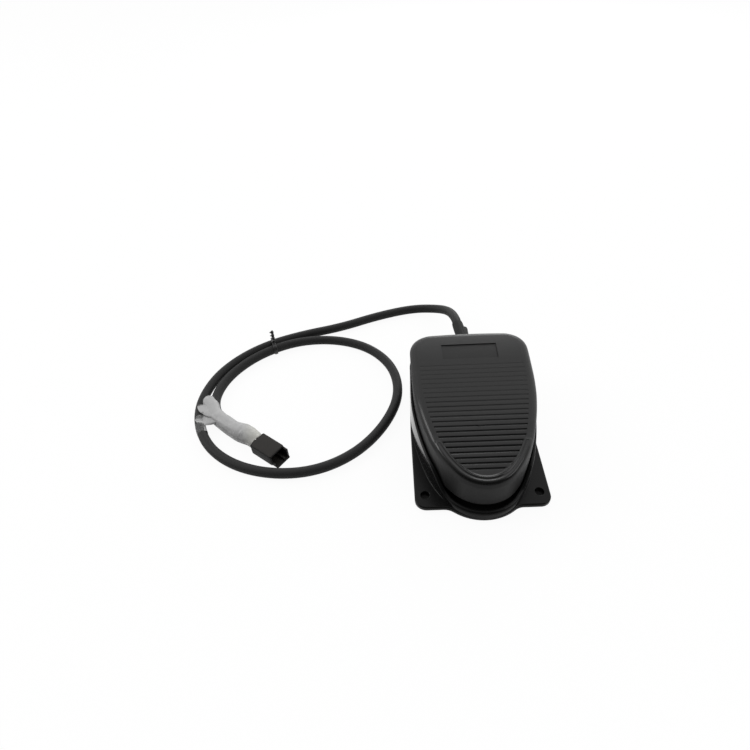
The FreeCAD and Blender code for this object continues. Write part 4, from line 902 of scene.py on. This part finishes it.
housing = block(0, shell_length, -half_width, half_width, low, half_height, 1.3)
cut_out(housing, [block(mouth_start, shell_length + 1, -half_width + shell_wall, half_width - shell_wall,
                        low + shell_wall, half_height - shell_wall, 0.25)]
        + [block(-1, 1.4, lead_pitch * step - 1.0, lead_pitch * step + 1.0, -0.4, 1.6, 0.2) for step in steps])
lips = [block(mouth_start - 0.3, shell_length + 4.2, -half_width + 1.0, half_width - 0.6, low + 0.02,
              low + 1.3),
        block(shell_length - 4, shell_length + 3.4, half_width - 1.7, half_width - 0.3, low + 0.3,
              half_height - 1.4, 0.4),
        block(shell_length - 4, shell_length + 2.6, -half_width + 1.1, -half_width + 2.0, low + 0.3, -1.6),
        block(mouth_start - 0.3, shell_length + 3.4, half_width - 5.4, half_width - 4.0, low + 1.0, low + 3.6)]
flank = half_width - 0.1
ribs = [block(1.6, shell_length - 1.2, side * flank - 0.15, side * flank + 0.15, -1.0, 1.0, 0.1)
        for side in (-1, 1)]
join(housing, lips + ribs)
set_on_connector(housing, "connector_shell")
nylon = Finish("connector nylon")
frost = nylon.noise(1500.0, 3.0, 0.6)
blotch = nylon.noise(120.0, 4.0, 0.6)
# Base colour: the nylon's warm dark grey on faces that look up, and near-black on the sides and underside. The
# near-black is painted shade.
nylon_top = nylon.mix(blotch, grey(0.012, 0.10), grey(0.017, 0.12))
nylon.surface(base_color=nylon.mix(nylon.ramp(nylon.facing_up(), 0.5, 0.9), grey(0.004), nylon_top),
              roughness=0.55 + 0.1 * blotch, specular_ior_level=0.22, normal=nylon.bump(frost, 0.00003, 0.5))
dress(housing, nylon)
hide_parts("connector_housing")
pins = [block(mouth_start - 0.1, mouth_start + 10, pin_pitch * step - 0.55, pin_pitch * step + 0.55, 1.45, 2.55,
              0.2) for step in steps]
join(pins[0], pins[1:])
set_on_connector(pins[0], "connector_pins")
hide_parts("connector_terminals")
wires = [stud(0.8, -5.8, 1.3, (0, lead_pitch * step, 0.6), "X", edge=0.1) for step in steps]
join(wires[0], wires[1:])
set_on_connector(wires[0], "connector_leads")
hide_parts("connector_wires")


# Film: a piece of clear polythene gathered round the cord's end as packing. From the connector it runs as a
# crumpled sleeve along the inner strand, opens out into a round end, and grips the outer strand with two
# loose lobes and a band.
film_path = [Vector(corner) for corner in (
    (-145.5, 2.3), (-149.6, 6.3), (-154.1, 9.4), (-158.2, 11.7), (-164.2, 15.2), (-172.0, 21.2),
    (-177.4, 26.0), (-181.0, 31.4), (-184.0, 38.0), (-188.2, 45.2))]
back_reach = (5.4, 6.1, 6.9, 6.9, 6.0, 6.3, 6.4, 5.3, 5.6, 5.2)
front_reach = (5.2, 5.9, 6.8, 6.8, 5.8, 5.2, 4.8, 4.6, 5.4, 5.4)
film_height = (9.2, 10.8, 11.2, 11.0, 10.4, 9.8, 9.4, 9.2, 8.9, 8.3)
film_rows, film_columns = 170, 150
loose_lobes = [(Vector((-176.0, 21.8)), Vector((-192.3, 24.6)), 2.2, 4.4, 8.0),
               (Vector((-176.0, 24.8)), Vector((-193.0, 36.4)), 2.6, 3.0, 9.6)]
outer_line = [point for point in strand[:len(strand) // 2] if point.x < -180 and 0 < point.y < 60]
folds, belly, lobe_rows, lobe_columns = ((1.0, 0.9), (2.3, 0.4), (5.1, 0.12)), 4.4, 48, 32


def eased(values, share):
    """Value along a list at a share of its length, rounded through its entries."""
    place = share * (len(values) - 1)
    i = min(int(place), len(values) - 2)
    p, q = values[max(i - 1, 0)], values[i]
    r, s = values[i + 1], values[min(i + 2, len(values) - 1)]
    t = place - i
    slope, bend = (r - p) * (t / 2), (p - q * 2.5 + r * 2 - s / 2) * (t * t)
    return q + slope + bend + ((s - p) / 2 + (q - r) * 1.5) * (t ** 3)


def over_strand(plan, clearance):
    """Height at which the film lies on the outer strand at a place, or nothing beside it."""
    gap = min((point.xy - plan).length for point in outer_line)
    return 3.5 + math.sqrt(clearance ** 2 - gap ** 2) if gap < clearance else 0.0


def grid_faces(first, rows, columns):
    """Faces between rows of corners."""
    width = columns + 1
    starts = [first + row * width + i for row in range(rows) for i in range(columns)]
    return [(at, at + 1, at + width + 1, at + width) for at in starts]


film = bpy.data.meshes.new("packing_film")
corners = []
for row in range(film_rows + 1):
    for column in range(film_columns + 1):
        across_share = column / film_columns
        back_edge = max(0.0, 1 - across_share / 0.5)
        share = row / film_rows * (1.0 - 0.05 * back_edge ** 1.6 - 0.012 * abs(math.sin(across_share * 14)))
        middle = eased(film_path, share)
        before, after = eased(film_path, max(share - 0.01, 0.0)), eased(film_path, min(share + 0.01, 1.0))
        ahead = (after - before).normalized()
        front = Vector((-ahead.y, ahead.x))
        opening = part_way((share - 0.66) / 0.07)
        end_round = max(0.05, 1 - max(0.0, (share - 0.88) / 0.12) ** 2.3) ** 0.5
        low = -58 * end_round
        turn = math.radians(low + (238 - 58 * opening - low) * across_share)
        side = -math.cos(turn)
        sideways = side * end_round * eased(front_reach if side > 0 else back_reach, share)
        if math.sin(turn) > 0:
            arch = max(0.0, 1 - min(1.0, abs(side) * (0.3 + 0.7 * end_round)) ** 2.4) ** 0.45
            height = belly + (eased(film_height, share) - belly) * arch
        else:
            height = belly * (1 + math.sin(turn) * 1.1)
        plan = middle + front * sideways
        if side > 0 and opening > 0:
            height = max(height, over_strand(plan, 4.0), (4.4 - 1.4 * (1 - opening)) * opening)
        fold_place = Vector((share * 8.0, across_share * 4.0, 3.7))
        long_fold = noise.noise(Vector((share * 2.6, across_share * 9.0, 1.3)))
        crumple = sum(noise.noise(fold_place * size) * depth for size, depth in folds)
        ridge = 0.5 - abs(noise.noise(fold_place * 1.3 + Vector((7.1, 2.2, 0.0))))
        lift = (0.5 * long_fold + 0.6 * crumple + 0.35 * ridge) * (1 - 0.6 * opening)
        free = min(1.0, height / 4.0)
        plan += front * (side * 0.5 * lift * free)
        corners.append((plan.x, plan.y, max(0.15, height + lift * free * 0.7)))
faces = grid_faces(0, film_rows, film_columns)
for root, tip, root_half, tip_half, root_height in loose_lobes:
    faces += grid_faces(len(corners), lobe_rows, lobe_columns)
    across_lobe = Vector((root.y - tip.y, tip.x - root.x)).normalized()
    for row in range(lobe_rows + 1):
        share = row / lobe_rows
        tapered = root_half + (tip_half - root_half) * min(1.0, share / 0.75)
        tip_round = max(0.01, 1 - max(0.0, (share - 0.55) / 0.45) ** 2.4) ** 0.5
        half = (tapered + 1.3 * math.sin(math.pi * share)) * tip_round
        for column in range(lobe_columns + 1):
            side = column / (lobe_columns / 2) - 1
            wave = noise.noise(Vector((share * 2.0, side * 1.2, root_height)))
            plan = root.lerp(tip, share) + across_lobe * (side * half + 0.5 * wave * share)
            droop = (0.5 * share - 1.8 * (1 - share)) * side ** 4
            height = max(over_strand(plan, 4.0), root_height - 2.4 * share) + 0.4 * wave + droop
            corners.append((plan.x, plan.y, height))
band_places = [point for point in outer_line if 10.8 < point.y < 21.0]
faces += grid_faces(len(corners), len(band_places) - 1, 40)
for point_index, point in enumerate(band_places):
    i = strand.index(point)
    ahead = (strand[i + 1] - strand[i - 1]).normalized()
    side_way = Vector((-ahead.y, ahead.x, 0)).normalized()
    for column in range(41):
        turn = math.tau * column / 40
        ripple = noise.noise(Vector((point_index * 0.6, math.cos(turn) * 2, math.sin(turn) * 2)))
        radius = 3.72 + 0.16 * ripple
        place = point + side_way * math.cos(turn) * radius + Vector((0, 0, math.sin(turn) * radius))
        corners.append((place.x, place.y, max(0.05, place.z)))
film.from_pydata([[length * millimetre for length in corner] for corner in corners], [], faces)
packing = bpy.data.objects.new("packing_film", film)
bpy.context.scene.collection.objects.link(packing)
take(packing)
bpy.ops.object.mode_set(mode="EDIT")
close_up(0.000001)
bpy.ops.object.mode_set(mode="OBJECT")
thickness = packing.modifiers.new("thickness", "SOLIDIFY")
thickness.thickness, thickness.offset = 0.00006, 0.0
bpy.ops.object.modifier_apply(modifier="thickness")
bpy.ops.object.shade_smooth_by_angle(angle=math.radians(60))
polythene = Finish("clear film")
haze = polythene.noise(110.0, 4.0, 0.55)
fold_and_highlight = polythene.ramp(polythene.noise(300.0, 5.0, 0.7), 0.54, 0.72)
across, forward = polythene.along(0), polythene.along(1)
near_shell = polythene.ramp(across, -0.156, -0.147) * 0.7
sheer = (polythene.ramp(across, -0.1868, -0.1882) * polythene.ramp(forward, 0.0300, 0.0285)
         * polythene.ramp(forward, 0.0225, 0.0245))
band = polythene.ramp(across + forward * 0.3, -0.1794, -0.1800) * polythene.ramp(forward, 0.0206, 0.0198)
tint = polythene.mix(near_shell, polythene.mix(haze, grey(0.31), grey(0.39)), (0.47, 0.465, 0.42, 1.0))
# Base colour: lighter grey along the crease pattern, a painted highlight on the folds. The same pattern also
# feeds the bump and the alpha.
polythene.surface(base_color=polythene.mix(fold_and_highlight * 0.2, tint, grey(0.5)), roughness=0.32 + 0.2 * haze,
                  alpha=(0.97 - 0.72 * sheer - 0.88 * band + 0.05 * fold_and_highlight).clamped(), specular_ior_level=0.4,
                  normal=polythene.bump(fold_and_highlight, 0.00006, 0.4, polythene.bump(haze, 0.0004, 0.3)))
dress(packing, polythene)
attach(packing, "base")
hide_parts("film_wrap")


# Return spring: hard-drawn steel wire wound in six turns, its end turns closed so that it stands square on
# the base's pedestal, under the foot plate's seat.
def metal(name, dark, bright, rough, scratch_stretch, scale):
    """Bare or plated metal: bright, with fine marks along the way that it was made."""
    finish = Finish(name)
    marks = finish.noise(scale, 4.0, 0.6, finish.place(scratch_stretch))
    stain = finish.noise(160.0, 4.0, 0.6)
    finish.surface(base_color=finish.mix(marks * 0.6 + stain * 0.4, dark, bright), metallic=1.0,
                   roughness=rough + 0.16 * stain + 0.08 * marks, normal=finish.bump(marks, 0.00002, 0.4))
    return finish


spring_low, spring_high = [Vector(corner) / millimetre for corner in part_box("return_spring")]
wire_radius, spring_turns, turn_steps, closed_rise = 0.6, 6, 24, 1.4
coil_radius = (spring_high.x - spring_low.x) / 2 - wire_radius
open_rise = (spring_high.z - spring_low.z - 2 * wire_radius - 2 * closed_rise) / (spring_turns - 2)


def wire_height(turn):
    """Height of the wire's middle after so many turns: closed at both ends, open between."""
    closed = min(turn, 1) + max(turn - spring_turns + 1, 0)
    return closed_rise * closed + open_rise * max(0, min(turn - 1, spring_turns - 2))


wire_round = [math.radians(30 * i) for i in range(12)]
spring = start_flat("return_coil", [Vector((math.cos(turn), math.sin(turn))) for turn in wire_round])
set_corners(lambda c: Vector((coil_radius + c.x * wire_radius, 0, c.y * wire_radius)))
turn = Matrix.Rotation(math.tau / turn_steps, 3, "Z")
for step in range(1, spring_turns * turn_steps + 1):
    rise = Vector((0, 0, wire_height(step / turn_steps) - wire_height((step - 1) / turn_steps)))
    pull_edge(lambda c: turn @ c + rise)
bpy.ops.mesh.edge_face_add()
bpy.ops.mesh.select_all(action="SELECT")
bpy.ops.mesh.normals_make_consistent(inside=False)
spring_foot = Vector((0, (spring_low.y + spring_high.y) / 2, spring_low.z + wire_radius))
set_corners(lambda c: c + spring_foot)
bpy.ops.object.mode_set(mode="OBJECT")
finish_mesh(spring, 50)
drawn = metal("drawn spring steel", (0.30, 0.31, 0.33, 1), (0.52, 0.52, 0.53, 1), 0.28, (1.0, 0.2, 1.0),
              1800.0)
dress(spring, drawn)
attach(spring, "base")
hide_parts("return_spring")
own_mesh(spring)


# Steel inside: the hinge's ground pin and its push-on clips, the switch's lever of rolled spring steel on its
# own pin, zinc-plated screws and lock nut, and tinned terminals.
ground = metal("ground steel", (0.42, 0.43, 0.44, 1), (0.62, 0.62, 0.62, 1), 0.22, (0.05, 1.0, 1.0), 2400.0)
zinc = metal("zinc plate", (0.52, 0.55, 0.58, 1), (0.70, 0.72, 0.74, 1), 0.3, (1.0, 1.0, 1.0), 900.0)
tinned = metal("tinned brass", (0.60, 0.46, 0.22, 1), (0.80, 0.72, 0.52, 1), 0.28, (1.0, 0.4, 1.0), 1300.0)
for finish, names in ((ground, ("hinge_pin", "lever_pin")), (drawn, ("hinge_clips", "switch_lever")),
                      (zinc, ("switch_screws", "actuator_screw", "actuator_nut", "clamp_screws")),
                      (tinned, ("switch_terminals", "crimp_receptacles"))):
    for node in names:
        dress(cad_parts[node], finish)
dress(pins[0], tinned)


# Soft and moulded parts inside: rubber feet and stop pad, the snap switch's case and its red button, the
# saddle over the cord, the jacket's inner end and the insulated leads.
def moulded(name, dark, light, rough, scale, depth):
    """Rubber or plastic: slightly mottled, with a fine skin."""
    finish = Finish(name)
    skin, cloud = finish.noise(scale, 3.0, 0.6), finish.noise(90.0, 4.0, 0.6)
    finish.surface(base_color=finish.mix(cloud, dark, light), roughness=rough + 0.14 * cloud,
                   normal=finish.bump(skin, depth, 0.5))
    return finish


rubber = moulded("foot rubber", grey(0.010), grey(0.022), 0.68, 1100.0, 0.00008)
case = moulded("switch case", grey(0.012), grey(0.020), 0.3, 2000.0, 0.00002)
button = moulded("switch button", (0.30, 0.018, 0.014, 1), (0.42, 0.03, 0.022, 1), 0.28, 2000.0, 0.00001)
brown = moulded("brown insulation", (0.11, 0.045, 0.018, 1), (0.16, 0.07, 0.03, 1), 0.38, 1500.0, 0.00002)
blue = moulded("blue insulation", (0.02, 0.06, 0.28, 1), (0.035, 0.09, 0.36, 1), 0.38, 1500.0, 0.00002)
black = moulded("black insulation", grey(0.010), grey(0.018), 0.38, 1500.0, 0.00002)
tan = moulded("tan insulation", (0.28, 0.20, 0.11, 1), (0.36, 0.27, 0.16, 1), 0.4, 1500.0, 0.00002)
for finish, names in ((rubber, ("rubber_feet", "stop_pad")), (case, ("switch_body",)),
                      (button, ("switch_plunger",)), (gloss, ("cord_clamp",)), (jacket, ("cord_inner_end",)),
                      (brown, ("lead_common",)), (blue, ("lead_open",)), (black, ("lead_closed",))):
    for node in names:
        dress(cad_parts[node], finish)
dress(wires[0], tan)


# Floor and lights: a white sheet, a pale room that is dimmer on the camera's side, and three soft lamps, at
# the left, at the right and behind. The sheet carries a painted shadow, dark, under the two screw holes, and
# glossy surfaces reflect less of its white from the strip that the pedal stands on, a painted shade in those
# reflections.
bpy.ops.mesh.primitive_plane_add(size=14.0, location=(0, 0, 0))
floor = bpy.context.object
floor.name = "floor"
paper = Finish("white sheet")
aside, ear_hole = paper.aside(), Vector(ear_hole_places[1]) * millimetre
hole_x, hole_y = aside - ear_hole.x, paper.along(1) - ear_hole.y
# Painted shadow: the sheet turns dark and stops glowing in a small round patch under each screw hole.
painted_hole_shadow = paper.ramp(hole_x * hole_x + hole_y * hole_y, 0.0045 ** 2, 0.0055 ** 2, 1.0, 0.0)
# Painted shade: glossy rays see less of the sheet's glow beside the pedal and before its toe, standing in for
# the shadow the pedal casts there.
beside_pedal = paper.ramp(aside, 0.028, 0.041)
before_toe = paper.ramp(paper.along(1), -0.061, -0.13, 0.15, 1.0)
away = beside_pedal.arithmetic("MAXIMUM", beside_pedal, before_toe)
mirrored = paper.node("ShaderNodeLightPath", output=3) + paper.node("ShaderNodeLightPath", output=6)
seen = (paper.node("ShaderNodeLightPath", output=0) + mirrored * away).clamped()
paper.surface(base_color=paper.mix(painted_hole_shadow, grey(0.9), grey(0.03)), roughness=0.9)
glow = paper.node("ShaderNodeEmission", None, {"Color": (1.0, 1.0, 1.0, 1.0), "Strength": 1.0})
sheet = Value(paper, paper.shader.outputs[0])
blend = paper.node("ShaderNodeMixShader", None, {0: seen * (1 - painted_hole_shadow) * 0.94, 1: sheet, 2: glow})
paper.feed(paper.tree.nodes["Material Output"].inputs["Surface"], blend)
floor.data.materials.append(paper.material)


class Room(Finish):
    """The light that comes from all round, built as a finish of the world."""

    def __init__(self, world):
        world.use_nodes = True
        self.tree = world.node_tree
        self.shader = self.tree.nodes["Background"]


world = bpy.context.scene.world or bpy.data.worlds.new("studio")
bpy.context.scene.world = world
room = Room(world)
ray = room.node("ShaderNodeTexCoord", output=0)
behind = room.ramp(room.node("ShaderNodeSeparateXYZ", None, {0: ray}, output=1), -0.45, 0.35)
room.surface(color=room.mix(behind, grey(0.1), grey(1.35)), strength=1.0)
lamps = (("left lamp", (-1.7, 0.2, 1.1), 0.8, 11.6), ("right lamp", (0.8, -0.3, 0.7), 0.5, 2.0),
         ("back lamp", (0.25, 1.2, 0.45), 0.5, 3.2))
for name, place, size, power in lamps:
    lamp_data = bpy.data.lights.new(name, "AREA")
    lamp_data.size, lamp_data.energy = size, power
    lamp = bpy.data.objects.new(name, lamp_data)
    lamp.location = place
    lamp.rotation_euler = (-Vector(place)).to_track_quat("-Z", "Y").to_euler()
    bpy.context.scene.collection.objects.link(lamp)
